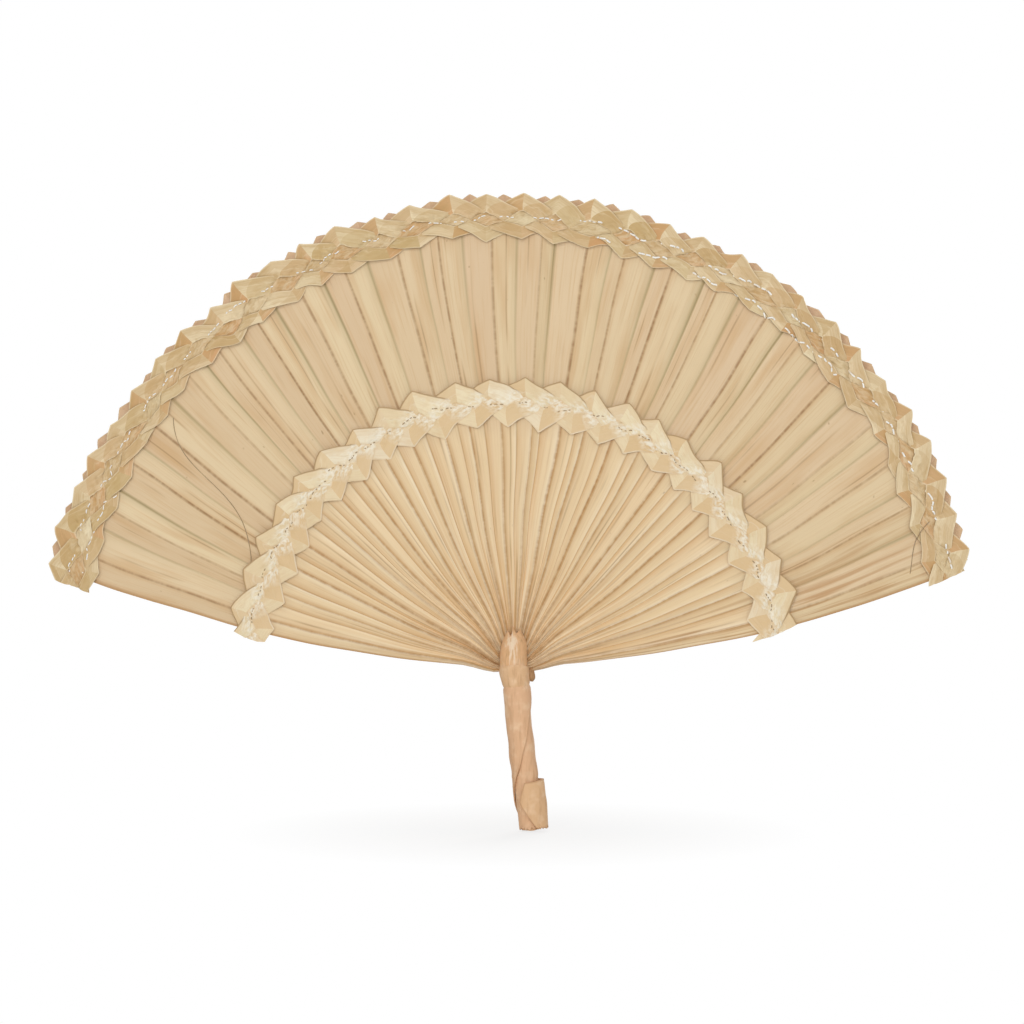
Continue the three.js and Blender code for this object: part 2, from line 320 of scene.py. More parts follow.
def settle(piece):
    """Puts a piece's place, turn and scale into its mesh."""
    only(piece)
    bpy.ops.object.transform_apply(location=True, rotation=True, scale=True)


def work(piece, kind, **settings):
    """Adds a modifier to a piece and applies it."""
    only(piece)
    modifier = piece.modifiers.new(kind, kind)
    for name, value in settings.items():
        setattr(modifier, name, value)
    bpy.ops.object.modifier_apply(modifier=modifier.name)


def bend(piece, radius, side):
    """Bends a piece that lies along X round a circle, its ends towards side times Y."""
    along = [vertex.co.x for vertex in piece.data.vertices]
    turn = side * (max(along) - min(along)) / radius
    work(piece, "SIMPLE_DEFORM", deform_method="BEND", deform_axis="Z", angle=turn)


PLAY_PATTERNS = (("X", "BLENDER_ORIGINAL"), ("Z", "IMPROVED_PERLIN"), ("Y", "ORIGINAL_PERLIN"))


def weather(piece, grain, sideways, outwards, group=""):
    """Moves a surface by cloud patterns of one grain, alike for all pieces at one place."""
    for axis, basis in PLAY_PATTERNS:
        strength = outwards if axis == "Y" else sideways
        if strength == 0:
            continue
        name = f"{basis} {grain / MM:.1f}"
        clouds = bpy.data.textures.get(name) or bpy.data.textures.new(name, "CLOUDS")
        clouds.noise_basis = basis
        clouds.noise_scale = grain
        clouds.noise_depth = 1
        pattern = {"texture": clouds, "texture_coords": "GLOBAL", "direction": axis}
        work(piece, "DISPLACE", mid_level=0.5, strength=strength, vertex_group=group, **pattern)


def thicken(piece, thickness, offset):
    work(piece, "SOLIDIFY", thickness=thickness, offset=offset, use_even_offset=False)


def smooth(piece, degrees):
    only(piece)
    bpy.ops.object.shade_smooth_by_angle(angle=math.radians(degrees))


def hand_over(piece, name, material, slot, *nodes):
    """Names a finished piece, gives it its material and ties it to the frame."""
    only(piece)
    piece.name = name
    piece.data.name = name
    piece.data.materials.clear()
    piece.data.materials.append(material)
    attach(piece, "root")
    if nodes:
        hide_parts(*nodes)
    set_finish(piece, slot)


def hub_place(handle):
    side = -handle.offset - handle.grip * math.sin(handle.lean)
    return Vector((side, 0, handle.grip * math.cos(handle.lean)))


def stand_on_hub(piece, handle, radius):
    """Stands a bent band up, its front to -Y and the centre of its circle on the hub."""
    piece.rotation_euler.x = math.pi / 2
    piece.location = hub_place(handle) + Vector((0, 0, radius))
    settle(piece)


def set_on_handle(piece, handle, depth=0.0):
    """Leans a piece that was made round the Z axis and sets it on the handle."""
    piece.rotation_euler.y = -handle.lean
    piece.location = hub_place(handle) + Vector((handle.offset, depth, 0))
    settle(piece)


# Materials


def add(tree, kind, links=None, **settings):
    """Adds a node with its settings and links, and gives its outputs."""
    node = tree.nodes.new("ShaderNode" + kind)
    for name, value in settings.items():
        setattr(node, name, value)
    for socket, value in (links or {}).items():
        if isinstance(value, bpy.types.NodeSocket):
            tree.links.new(value, node.inputs[socket])
        else:
            node.inputs[socket].default_value = value
    return node.outputs


def work_out(tree, found, steps):
    """Adds the nodes of a list of steps, and keeps their outputs in found.

    A step is the output's name, the node's kind and its inputs, which are numbers or the names
    of outputs found before. A kind in capitals is an operation of a Math node.
    """
    for name, kind, *inputs in steps:
        links = {socket: found.get(value, value) for socket, value in enumerate(inputs)}
        if kind.isupper():
            found[name] = add(tree, "Math", links, operation=kind)[0]
        else:
            found[name] = add(tree, kind, links)[0]


def begin_material(name):
    material = bpy.data.materials.new(name)
    material.use_nodes = True
    material.node_tree.nodes.clear()
    return material, material.node_tree


def lay_colours(tree, tone, found, layers):
    """Lays one colour over another, each as far as its share goes."""
    for amount, tint in layers:
        tone = add(tree, "Mix", {0: found[amount], 6: tone, 7: tint}, data_type="RGBA")[2]
    return tone


def end_material(tree, sockets):
    shader = add(tree, "BsdfPrincipled", sockets)
    add(tree, "OutputMaterial", {"Surface": shader[0]})


DRY_LEAF_IOR = 1.45
NYLON_IOR = 1.53


def dried_leaf(fan):
    """Sun-dried palm leaf, split into pleats and left unvarnished.

    It gives the eye a satin straw skin with long veins and brown ribs, with grey-green painted shade
    in the valleys and painted light and shade across the facets and folds.
    """
    blade, colours = fan.blade, fan.colours
    material, tree = begin_material("sun-dried palm leaf")
    reach = blade.rim_radius - blade.tip_inset - blade.base_radius
    fold_angle = (blade.rim_spread + blade.base_spread) / 2 / blade.leaflets
    sheet = add(tree, "SeparateXYZ", {0: add(tree, "UVMap", uv_map="UVMap")[0]})
    found = {"sheet_across": sheet[0], "sheet_up": sheet[1]}
    places = (
        ("across", "MULTIPLY", "sheet_across", blade.leaflets),
        ("radius", "MULTIPLY_ADD", "sheet_up", reach, blade.base_radius),
        ("width", "MULTIPLY", "radius", fold_angle),
        ("half_width", "MULTIPLY", "width", 0.5),
        ("within", "FRACT", "across"),
        ("centred", "SUBTRACT", "within", 0.5),
        ("off_rib", "ABSOLUTE", "centred"),
        ("rib_gap", "MULTIPLY", "off_rib", "width"),
        ("facets", "MULTIPLY", "across", 2),
        ("on_facet", "FRACT", "facets"),
        ("off_centre", "SUBTRACT", "sheet_across", 0.5),
        ("sideways", "ABSOLUTE", "off_centre"),
    )
    work_out(tree, found, places)

    # Each pattern's number of marks across a leaflet and along a metre of it
    flat = add(tree, "CombineXYZ", {0: found["across"], 1: found["radius"]})[0]
    for name, marks_across, marks_along, detail in (
        ("veins", 26, 25, 3),
        ("streaks", 7, 11, 2),
        ("stains", 2.6, 17, 2),
        ("breaks", 1, 300, 2),
        ("specks", 8, 190, 1),
    ):
        marks = {0: (marks_across, marks_along, 0), 1: flat}
        spread = add(tree, "VectorMath", marks, operation="MULTIPLY")[0]
        look = {"Vector": spread, "Scale": 1, "Detail": detail, "Roughness": 0.6}
        found[name] = add(tree, "TexNoise", look)[0]

    # A number of its own for each rib, valley and facet
    for name, times, offset in (("rib", 1, 0.0), ("valley", 1, 100.5), ("facet", 2, 200.0)):
        numbering = {0: found["across"], 1: times, 2: offset}
        number = add(tree, "Math", numbering, operation="MULTIPLY_ADD")[0]
        number = add(tree, "Math", {0: number}, operation="FLOOR")[0]
        chance = add(tree, "TexWhiteNoise", {"W": number}, noise_dimensions="1D")[0]
        found[f"{name}_chance"] = chance

    # Each MapRange gives a source, where its mark starts and ends, and the mark's shares there
    marks = (
        ("inside", "MapRange", "radius", 105 * MM, 120 * MM, 1.0, 0.0),
        ("outside", "SUBTRACT", 1.0, "inside"),
        ("brighter", "MULTIPLY", "inside", 0.7),
        # Facets right of each rib are made paler as painted light, and every facet a little paler or
        # not at random
        ("sunny", "MapRange", "centred", -0.02, 0.02, 0.0, 0.5),
        ("facet", "MULTIPLY_ADD", "facet_chance", 0.4, "sunny"),
        ("stain", "MapRange", "stains", 0.48, 0.75, 0.0, 0.7),
        ("vein", "MapRange", "veins", 0.5, 0.8, 0.0, 0.55),
        ("speck", "MapRange", "specks", 0.76, 0.82, 0.0, 0.5),
        # One crease at a place of its own on some of the facets
        ("crease_at", "MapRange", "facet_chance", 0, 1, 0.2, 0.8),
        ("crease_gap", "SUBTRACT", "on_facet", "crease_at"),
        ("crease_gap", "MULTIPLY", "crease_gap", "half_width"),
        ("crease_gap", "ABSOLUTE", "crease_gap"),
        ("crease", "MapRange", "crease_gap", 0.1 * MM, 0.5 * MM, 0.45, 0.0),
        ("faint", "MapRange", "stains", 0.5, 0.65, 0.0, 1.0),
        ("crease", "MULTIPLY", "crease", "faint"),
        # The whole leaf's rolled edges, and the bundle of fibres beside the right one
        ("rolled", "MapRange", "sideways", 0.4955, 0.4985, 0.0, 0.75),
        ("right_edge", "MapRange", "off_centre", 0.42, 0.47, 0.0, 0.7),
        ("bundle", "MapRange", "streaks", 0.5, 0.62, 0.0, 1.0),
        ("bundle", "MULTIPLY", "bundle", "right_edge"),
        # Inside the inner plait: painted shade in tan after each fold, and a pale painted highlight
        # before the next fold
        ("after_fold", "MapRange", "on_facet", 0.0, 0.45, 0.75, 0.0),
        ("after_fold", "MULTIPLY", "after_fold", "inside"),
        ("rubbed", "MapRange", "on_facet", 0.62, 0.9, 0.0, 1.0),
        ("rubbing", "MapRange", "facet_chance", 0, 1, 0.1, 0.8),
        ("rubbed", "MULTIPLY", "rubbed", "rubbing"),
        ("rubbed", "MULTIPLY", "rubbed", "inside"),
        # The hub's darker leaf, its lit facets and its peeled streaks
        ("near_hub", "MapRange", "radius", 15 * MM, 65 * MM, 0.9, 0.0),
        ("lit", "GREATER_THAN", "facet_chance", 0.5),
        ("hub_light", "MapRange", "radius", 12 * MM, 42 * MM, 0.85, 0.0),
        ("hub_light", "MULTIPLY", "hub_light", "lit"),
        ("streak", "MapRange", "streaks", 0.48, 0.64, 0.0, 0.9),
        ("peeled", "MapRange", "radius", 20 * MM, 110 * MM, 0.9, 0.0),
        ("streak", "MULTIPLY", "streak", "peeled"),
        # Ribs, broken here and there, with a shade on their right
        ("rib_strength", "MapRange", "rib_chance", 0, 1, 0.4, 0.95),
        ("full", "MapRange", "radius", 20 * MM, 120 * MM, 0.85, 1.0),
        ("rib_strength", "MULTIPLY", "rib_strength", "full"),
        ("whole", "MapRange", "breaks", 0.35, 0.6, 0.5, 1.0),
        ("rib", "MapRange", "rib_gap", 0.2 * MM, 0.9 * MM, 0.9, 0.0),
        ("rib", "MULTIPLY", "rib", "whole"),
        ("rib", "MULTIPLY", "rib", "rib_strength"),
        ("shade", "MapRange", "centred", 0.0, 0.11, 0.6, 0.0),
        ("ahead", "GREATER_THAN", "centred", 0.0),
        ("shade", "MULTIPLY", "shade", "ahead"),
        ("shade", "MULTIPLY", "shade", "rib_strength"),
        # Valleys: a grey-green line of painted shade in each valley, with a softer painted shade
        # beside it, strongest at the rim; inside the inner plait an even golden-brown line instead
        ("valley_strength", "MapRange", "valley_chance", 0, 1, 0.4, 1.0),
        ("outwards", "MapRange", "radius", 100 * MM, 190 * MM, 0.15, 1.0),
        ("valley_strength", "MULTIPLY", "valley_strength", "outwards"),
        ("to_even", "SUBTRACT", 0.65, "valley_strength"),
        ("valley_strength", "MULTIPLY_ADD", "inside", "to_even", "valley_strength"),
        ("valley", "MapRange", "off_rib", 0.455, 0.494, 0.0, 0.9),
        ("valley", "MULTIPLY", "valley", "valley_strength"),
        ("hollow", "MapRange", "centred", 0.33, 0.5, 0.0, 0.4),
        ("hollow", "MULTIPLY", "hollow", "valley_strength"),
        ("hollow", "MULTIPLY", "hollow", "outside"),
        ("dull", "MapRange", "veins", 0.3, 0.7, 0.45, 0.65),
    )
    work_out(tree, found, marks)
    rib_tint, valley_tint = (
        add(tree, "Mix", {0: found["inside"], 6: line, 7: colours.fold}, data_type="RGBA")[2]
        for line in (colours.rib, colours.valley)
    )
    layers = (
        ("facet", colours.leaf_pale),
        ("stain", colours.leaf_warm),
        ("brighter", colours.leaf_inner),
        ("near_hub", colours.leaf_hub),
        ("hub_light", colours.leaf_streak),
        ("vein", colours.leaf_warm),
        # The next four layers are painted: shade after the folds, highlights before them, shade
        # beside the valleys and beside the ribs
        ("after_fold", colours.leaf_warm),
        ("rubbed", colours.leaf_streak),
        ("hollow", colours.valley),
        ("shade", colours.leaf_warm),
        ("streak", colours.leaf_streak),
        ("bundle", colours.rolled),
        ("crease", colours.rib),
        # Grey-green painted shade in the valleys outside the inner plait
        ("valley", valley_tint),
        ("rib", rib_tint),
        ("rolled", colours.rolled),
        ("speck", colours.rib),
    )
    tone = lay_colours(tree, colours.leaf, found, layers)
    grooves = {"Strength": 0.5, "Distance": 0.2 * MM, "Height": found["veins"]}
    skin = {"Roughness": found["dull"], "Normal": add(tree, "Bump", grooves)[0]}
    end_material(tree, {"Base Color": tone, "IOR": DRY_LEAF_IOR, **skin})
    return material


def plaited_strip(
    name, plain, pale, fibre, turned, every, shaded, edge, gap, gap_share, crumple_light_share, cells, outline=None
):
    """Flat strips of dried leaf, creased where they fold.

    They give the eye a satin grain along each strip and crisp edges, with painted light and shade on
    the cells, teeth, creases and crumples and painted shade in the gaps between strips. Each fold
    turns the strip over, so that every so many strips show their duller inner side on the way out.
    """
    material, tree = begin_material(name)
    strip = add(tree, "SeparateXYZ", {0: add(tree, "UVMap", uv_map="UVMap")[0]})
    found = {"strip_along": strip[0], "strip_across": strip[1]}
    last_crossing = 3.9
    tooth_share = 1 / 6
    places = (
        ("legs", "MULTIPLY", "strip_along", 2),
        ("leg", "FLOOR", "legs"),
        ("along", "FRACT", "legs"),
        ("strip", "FLOOR", "strip_across"),
        ("within", "FRACT", "strip_across"),
        ("outward", "MODULO", "leg", 2),
        ("inbound", "SUBTRACT", 1.0, "outward"),
        ("way_back", "SUBTRACT", 1.0, "along"),
        ("way_back", "MULTIPLY", "way_back", "outward"),
        ("inwards", "MULTIPLY_ADD", "along", "inbound", "way_back"),
        # The cells of the weave, each with a number: crossings 1 to 3, and a tooth at each end
        ("tooth_end", "MULTIPLY", "within", tooth_share),
        ("in_tooth", "LESS_THAN", "inwards", "tooth_end"),
        ("inner_end", "ADD", "tooth_end", 1 - tooth_share),
        ("in_inner", "GREATER_THAN", "inwards", "inner_end"),
        ("crossing", "MULTIPLY_ADD", "inwards", 4.0, 0.5),
        ("crossing", "Clamp", "crossing", 1.0, last_crossing),
        ("crossing", "FLOOR", "crossing"),
        ("crossing", "MULTIPLY_ADD", "in_tooth", 4.0, "crossing"),
        ("crossing", "MULTIPLY_ADD", "in_inner", 8.0, "crossing"),
    )
    work_out(tree, found, places)

    # Three numbers of its own for each leg of a strip and for each cell
    for chance, parts, dimensions in (
        ("leg", ("leg", "strip"), "2D"),
        ("cell", ("leg", "strip", "crossing"), "3D"),
    ):
        number = add(tree, "CombineXYZ", {axis: found[part] for axis, part in enumerate(parts)})[0]
        draw = add(tree, "TexWhiteNoise", {"Vector": number}, noise_dimensions=dimensions)[1]
        for axis, value in zip("abc", add(tree, "SeparateXYZ", {0: draw})):
            found[f"{chance}_{axis}"] = value

    # Grain 0.5 mm apart and 15 mm long, patches some 8 mm long and crumples of 2 mm
    flat = add(tree, "CombineXYZ", {0: strip[0], 1: strip[1]})[0]
    for pattern, marks_along, marks_across, detail in (
        ("grain", 6, 15, 3),
        ("patches", 9, 2, 2),
        ("crumples", 22, 5, 2),
    ):
        marks = {0: (marks_along, marks_across, 0), 1: flat}
        spread = add(tree, "VectorMath", marks, operation="MULTIPLY")[0]
        look = {"Vector": spread, "Scale": 1, "Detail": detail, "Roughness": 0.6}
        found[pattern] = add(tree, "TexNoise", look)[0]
    # Ambient occlusion, for the painted shade in the gaps between strips
    found["open_air"] = add(tree, "AmbientOcclusion", {"Distance": 2.5 * MM}, samples=8)[1]

    # Each MapRange gives a source, where its mark starts and ends, and the mark's shares there
    marks = (
        ("turn", "MODULO", "strip", every),
        ("turn", "COMPARE", "turn", every - 1, 0.5),
        ("turn", "MULTIPLY", "turn", "outward"),
        ("turning", "MapRange", "leg_a", 0, 1, 0.35, 1.0),
        ("turning", "MULTIPLY", "turn", "turning"),
        ("paling", "MapRange", "leg_b", 0.35, 0.9, 0.0, 1.0),
        ("shading", "MapRange", "leg_c", 0.5, 0.95, 0.0, 1.0),
        # Each cell paler or darker at random, as painted light and shade for its tilt, and one half
        # of each outer tooth paler as painted light
        ("cell_pale", "MapRange", "cell_a", 0.4, 1.0, 0.0, cells),
        ("cell_dull", "MapRange", "cell_b", 0.4, 1.0, 0.0, cells),
        ("tooth_light", "MULTIPLY", "in_tooth", "inbound"),
        ("tooth_light", "MULTIPLY", "tooth_light", cells),
        # A painted lengthwise crease that wanders: a painted highlight along it, and painted shade
        # on the strip beyond it
        ("crease_at", "MapRange", "leg_c", 0, 1, -0.15, 0.35),
        ("crease_at", "MULTIPLY_ADD", "patches", 0.8, "crease_at"),
        ("past_crease", "SUBTRACT", "within", "crease_at"),
        ("dull_side", "MapRange", "past_crease", -0.06, 0.06, 0.0, 0.35),
        ("off_crease", "ABSOLUTE", "past_crease"),
        ("crease", "MapRange", "off_crease", 0.01, 0.05, 0.25, 0.0),
        ("grains", "MapRange", "grain", 0.48, 0.8, 0.0, 0.55),
        ("patch", "MapRange", "patches", 0.5, 0.72, 0.0, 0.5),
        # Lines along the edges, strongest at the folds and pale as a painted highlight on the straw
        # strips; painted light on the crumples along the seam; painted shade in the gaps between
        # strips
        ("to_fold", "SUBTRACT", "along", 0.5),
        ("to_fold", "ABSOLUTE", "to_fold"),
        ("at_fold", "MapRange", "to_fold", 0.2, 0.35, 0.3, 1.0),
        ("at_seam", "MapRange", "to_fold", 0.12, 0.3, 1.0, 0.0),
        ("to_edge", "SUBTRACT", "within", 0.5),
        ("to_edge", "ABSOLUTE", "to_edge"),
        ("edges", "MapRange", "to_edge", 0.41, 0.47, 0.0, 0.6),
        ("edges", "MULTIPLY", "edges", "at_fold"),
        ("rubbed", "MapRange", "crumples", 0.4, 0.6, 0.0, crumple_light_share),
        ("rubbed", "MULTIPLY", "rubbed", "at_seam"),
        ("creased", "MULTIPLY", "crumples", "at_seam"),
        ("soot", "MapRange", "open_air", 0.35, 0.9, gap_share, 0.0),
        ("dull", "MapRange", "grain", 0.3, 0.7, 0.4, 0.6),
    )
    work_out(tree, found, marks)
    below = [
        ("paling", pale),
        ("shading", shaded),
        # Painted shade and light on the cells and the tooth halves
        ("cell_dull", fibre),
        ("cell_pale", pale),
        ("tooth_light", pale),
        ("turning", turned),
        ("dull_side", fibre),
        ("crease", pale),
        ("patch", fibre),
        ("grains", fibre),
    ]
    # On top: painted light on the crumples, the edge lines, then painted shade in the gaps
    above = [("rubbed", pale), ("edges", edge), ("soot", gap)]
    if outline:
        # The inner teeth turn tan, one half more than the other as painted shade, with a pale
        # painted highlight along their edges; a brown line runs round the teeth outside
        teeth = (
            ("far_half", "MapRange", "outward", 0, 1, 0.25, 0.8),
            ("inner_tooth", "MapRange", "inwards", 0.6, 0.8, 0.0, "far_half"),
            ("pale_edge", "MULTIPLY", "edges", "inner_tooth"),
            ("at_tip", "MapRange", "inwards", 0.3, 0.42, 1.0, 0.0),
            ("rim", "MapRange", "within", 0.9, 0.95, 0.0, 0.8),
            ("rim", "MULTIPLY", "rim", "at_tip"),
        )
        work_out(tree, found, teeth)
        below.append(("inner_tooth", turned))
        above += [("pale_edge", pale), ("rim", outline)]
    tone = lay_colours(tree, plain, found, below + above)
    grooves = {"Strength": 0.7, "Distance": 0.3 * MM, "Height": found["grain"]}
    folds = {"Strength": 0.6, "Distance": 1 * MM, "Height": found["creased"]}
    relief = add(tree, "Bump", {**folds, "Normal": add(tree, "Bump", grooves)[0]})[0]
    skin = {"Roughness": found["dull"], "Normal": relief}
    end_material(tree, {"Base Color": tone, "IOR": DRY_LEAF_IOR, **skin})
    return material


def fibrous(name, middle, pale, dark, grain, stretched, edges=(), torn=None):
    """Peeled stem and rolled leaf strip, dry and matt.

    It gives the eye short fibres along the strip, pale rubbed patches, dark streaks and edges.
    """
    material, tree = begin_material(name)
    place = add(tree, "TexCoord")[3]
    fine = (1 / grain, 1 / grain, 1 / stretched)
    along = add(tree, "Mapping", {"Vector": place, "Scale": fine})[0]
    found = {}
    # Marks to one repeat of the fibres, and rubbed patches to a metre
    for pattern, source, marks, detail, rough in (
        ("fibres", along, 1, 4, 0.6),
        ("patches", place, 160, 2, 0.5),
    ):
        look = {"Vector": source, "Scale": marks, "Detail": detail, "Roughness": rough}
        found[pattern] = add(tree, "TexNoise", look)[0]
    shares = (
        ("rubbed", "MapRange", "patches", 0.5, 0.7, 0.0, 0.8),
        ("streaks", "MapRange", "fibres", 0.5, 0.75, 0.0, 0.6),
    )
    work_out(tree, found, shares)
    layers = [("rubbed", pale), ("streaks", dark)]
    strip = add(tree, "SeparateXYZ", {0: add(tree, "UVMap", uv_map="UVMap")[0]})
    for side, reach in enumerate(edges):
        found["from_middle"] = strip[side]
        border = (
            ("from_middle", "SUBTRACT", "from_middle", 0.5),
            ("from_middle", "ABSOLUTE", "from_middle"),
            (f"edge_{side}", "MapRange", "from_middle", 0.5 - reach, 0.5, 0.0, 0.8),
        )
        work_out(tree, found, border)
        layers.append((f"edge_{side}", dark))
    if torn:
        centre, size, bare = torn
        off = add(tree, "VectorMath", {0: place, 1: centre}, operation="SUBTRACT")[0]
        off = add(tree, "VectorMath", {0: off, 1: size}, operation="DIVIDE")[0]
        found["reach"] = add(tree, "VectorMath", {0: off}, operation="LENGTH")[1]
        patch = (
            ("ragged", "MULTIPLY_ADD", "fibres", 5.0, "reach"),
            ("torn", "MapRange", "ragged", 2.5, 3.3, 0.7, 0.0),
        )
        work_out(tree, found, patch)
        layers.append(("torn", bare))
    tone = lay_colours(tree, middle, found, layers)
    grooves = {"Strength": 0.5, "Distance": 0.3 * MM, "Height": found["fibres"]}
    skin = {"Roughness": 0.68, "Normal": add(tree, "Bump", grooves)[0]}
    end_material(tree, {"Base Color": tone, "IOR": DRY_LEAF_IOR, **skin})
    return material


def clear_thread(name, plain, soil):
    """Clear nylon sewing thread. A white base colour paints the small white glints along each
    stitch; a grey-brown one paints the shade of a clear thread.
    """
    material, tree = begin_material(name)
    marks_to_metre = 120
    look = {"Vector": add(tree, "TexCoord")[3], "Scale": marks_to_metre, "Detail": 2}
    found = {"dirt": add(tree, "TexNoise", {**look, "Roughness": 0.5})[0]}
    work_out(tree, found, [("soil", "MapRange", "dirt", 0.5, 0.7, 0.0, 0.5)])
    tone = lay_colours(tree, plain, found, [("soil", soil)])
    end_material(tree, {"Base Color": tone, "Roughness": 0.2, "IOR": NYLON_IOR})
    return material


# Blade

RIM_SEAM, MIDDLE_SEAM = 208 * MM, 122.5 * MM
PRESS_REACH = 13 * MM
SEAM_PRESS = 0.5
HUB_PRESS_REACH = 1 / 3
LEAF_ROWS = 44
FACET_COLUMNS = 3
FOLD_SEED = 11
FOLD_STRAY = 3 * MM
DEPTH_STRAY = 0.35 * MM
LEAF_PLAY = (70 * MM, 4 * MM, 4 * MM)
LEAF_SMOOTH = 7


def blade_share(blade, radius):
    return (radius - blade.base_radius) / (blade.rim_radius - blade.base_radius)


def spread_at(blade, radius):
    spread = lerp(blade.base_spread, blade.rim_spread, blade_share(blade, radius))
    near = max(0, 1 - (radius - blade.base_radius) / blade.flare_reach)
    return spread + blade.flare * near**2


def depth_at(blade, radius):
    """Depth of the pleats, which are pressed flatter at the hub and under the seams."""
    depth = lerp(blade.base_depth, blade.rim_depth, blade_share(blade, radius))
    near = max(0, 1 - blade_share(blade, radius) / HUB_PRESS_REACH)
    seams = (RIM_SEAM, MIDDLE_SEAM)
    pressed = sum(math.exp(-(((radius - seam) / PRESS_REACH) ** 2)) for seam in seams)
    return depth * (1 - blade.base_flat * near) * (1 - SEAM_PRESS * min(1, pressed))


def pleat_leaf(fan):
    """The whole leaf as one flat sheet, pleated and then bent round the hub."""
    blade = fan.blade
    leaflet_columns = 2 * FACET_COLUMNS
    columns = blade.leaflets * leaflet_columns
    reach = blade.rim_radius - blade.tip_inset - blade.base_radius
    leaf = add_grid(columns, LEAF_ROWS)
    leaf.scale = (blade.rim_radius * blade.rim_spread, reach, 1)
    leaf.location.y = blade.base_radius + reach / 2 - blade.rim_radius
    settle(leaf)
    open_mesh(leaf)
    for step in range(FACET_COLUMNS + 1):

        def at_step(number, place):
            within = number % (columns + 1) % leaflet_columns
            return min(within, leaflet_columns - within) == step

        move(leaf, at_step, z=blade.base_depth * (step / FACET_COLUMNS - 0.5))
    for row in range(LEAF_ROWS + 1):
        radius = blade.base_radius + reach * row / LEAF_ROWS
        wide = spread_at(blade, radius) / blade.rim_spread
        deep = depth_at(blade, radius) / blade.base_depth
        pick(leaf, in_grid(columns, row=row))
        stretch(wide, 1, deep, (0, radius - blade.rim_radius, 0))
    strays = random.Random(FOLD_SEED)
    for fold in range(1, 2 * blade.leaflets):
        aside = strays.uniform(-FOLD_STRAY, FOLD_STRAY)
        lift = strays.uniform(-DEPTH_STRAY, DEPTH_STRAY)
        for away in range(FACET_COLUMNS):

            def beside_fold(number, place):
                return abs(number % (columns + 1) - fold * FACET_COLUMNS) == away

            follow = 1 - away / FACET_COLUMNS
            move(leaf, beside_fold, x=aside * follow, z=lift * follow)
    pick(leaf, lambda number, place: number % (columns + 1) % leaflet_columns == 0)
    close_mesh()
    bend(leaf, blade.rim_radius, -1)
    stand_on_hub(leaf, fan.handle, blade.rim_radius)
    weather(leaf, *LEAF_PLAY)
    return leaf


def part_leaflets(leaf, fan):
    """Cuts the leaf along its valleys, which are still selected, and sorts the leaflets."""
    only(leaf)
    bpy.ops.object.mode_set(mode="EDIT")
    bpy.ops.mesh.edge_split(type="EDGE")
    bpy.ops.mesh.separate(type="LOOSE")
    close_mesh()
    leaflets = list(bpy.context.selected_objects)
    if len(leaflets) != fan.blade.leaflets:
        raise RuntimeError(f"the leaf fell into {len(leaflets)} leaflets")
    hub = hub_place(fan.handle)

    def direction(leaflet):
        middle = sum((v.co for v in leaflet.data.vertices), Vector()) / len(leaflet.data.vertices)
        return math.atan2(middle.x - hub.x, middle.z - hub.z)

    return sorted(leaflets, key=direction)


class FAN_OT_leaflets(Operator):
    """Pleat the leaf and cut it into its leaflets"""

    bl_idname = "fan.leaflets"
    bl_label = "Leaflets"

    def execute(self, context):
        fan = context.scene.palm_fan
        material = dried_leaf(fan)
        for place, leaflet in enumerate(part_leaflets(pleat_leaf(fan), fan)):
            thicken(leaflet, fan.blade.thickness, 0)
            smooth(leaflet, LEAF_SMOOTH)
            number = f"{place + 1:02d}"
            hand_over(leaflet, f"palm_leaflet_{number}", material, "leaf", f"leaflet_{number}")
        return {"FINISHED"}


# Plaits

CROSSING_STEPS = 6
STRIP_ROWS = 4
CROWN = 0.25 * MM
FOLD_LIFT = 0.9
# How many strip thicknesses a plait stands off the leaf
STAND_OFF = 1.3
# Repeats before the leaf's left edge, and those that are cut off again in all
LEAD_IN, SPARE_REPEATS = 1.5, 3
END_SLANT = math.tan(math.radians(15))
UV_MARGIN = 0.001
MERGE_REACH = 0.01 * MM
RIM_SEAM_HALF, MIDDLE_SEAM_HALF = 3 * MM, 5 * MM
MIDDLE_TILT = math.radians(2)
PLAIT_PLAY = (26 * MM, 7 * MM, 1.2 * MM)
EDGE_PLAY = (16 * MM, 2.8 * MM, 1 * MM)
# Crumples at the seam: their grain, their way sideways, and their rise over the strip's lift
CRUMPLE = (3.2 * MM, 1.5 * MM)
CRUMPLE_RISE = 4
STRIP_SMOOTH = 25


def strip_sections(strands, cover):
    """Where a strip's edges lie over one repeat, in teeth along and rows across.

    A strip folds at the edges of the band, and crosses each of the others once on its way over.
    """
    sections = []
    for leg in (0, 1):
        start = leg * strands / 2
        down = -1 if leg == 0 else 1
        edge = -down * strands / 4
        sections.append(((start, edge - cover / 2), (start, edge + cover / 2), FOLD_LIFT))
        for crossing in range(1, strands):
            along = start + crossing / 2
            across = edge + down * crossing / 2
            row = crossing if down < 0 else strands - crossing
            over = (row % 2 == 1) == (down < 0)
            lean = cover / 4
            low = (along + down * lean, across - lean)
            high = (along - down * lean, across + lean)
            sections.append((low, high, 1 if over else -1))
    low, high, lift = sections[0]
    sections.append(((low[0] + strands, low[1]), (high[0] + strands, high[1]), lift))
    return sections


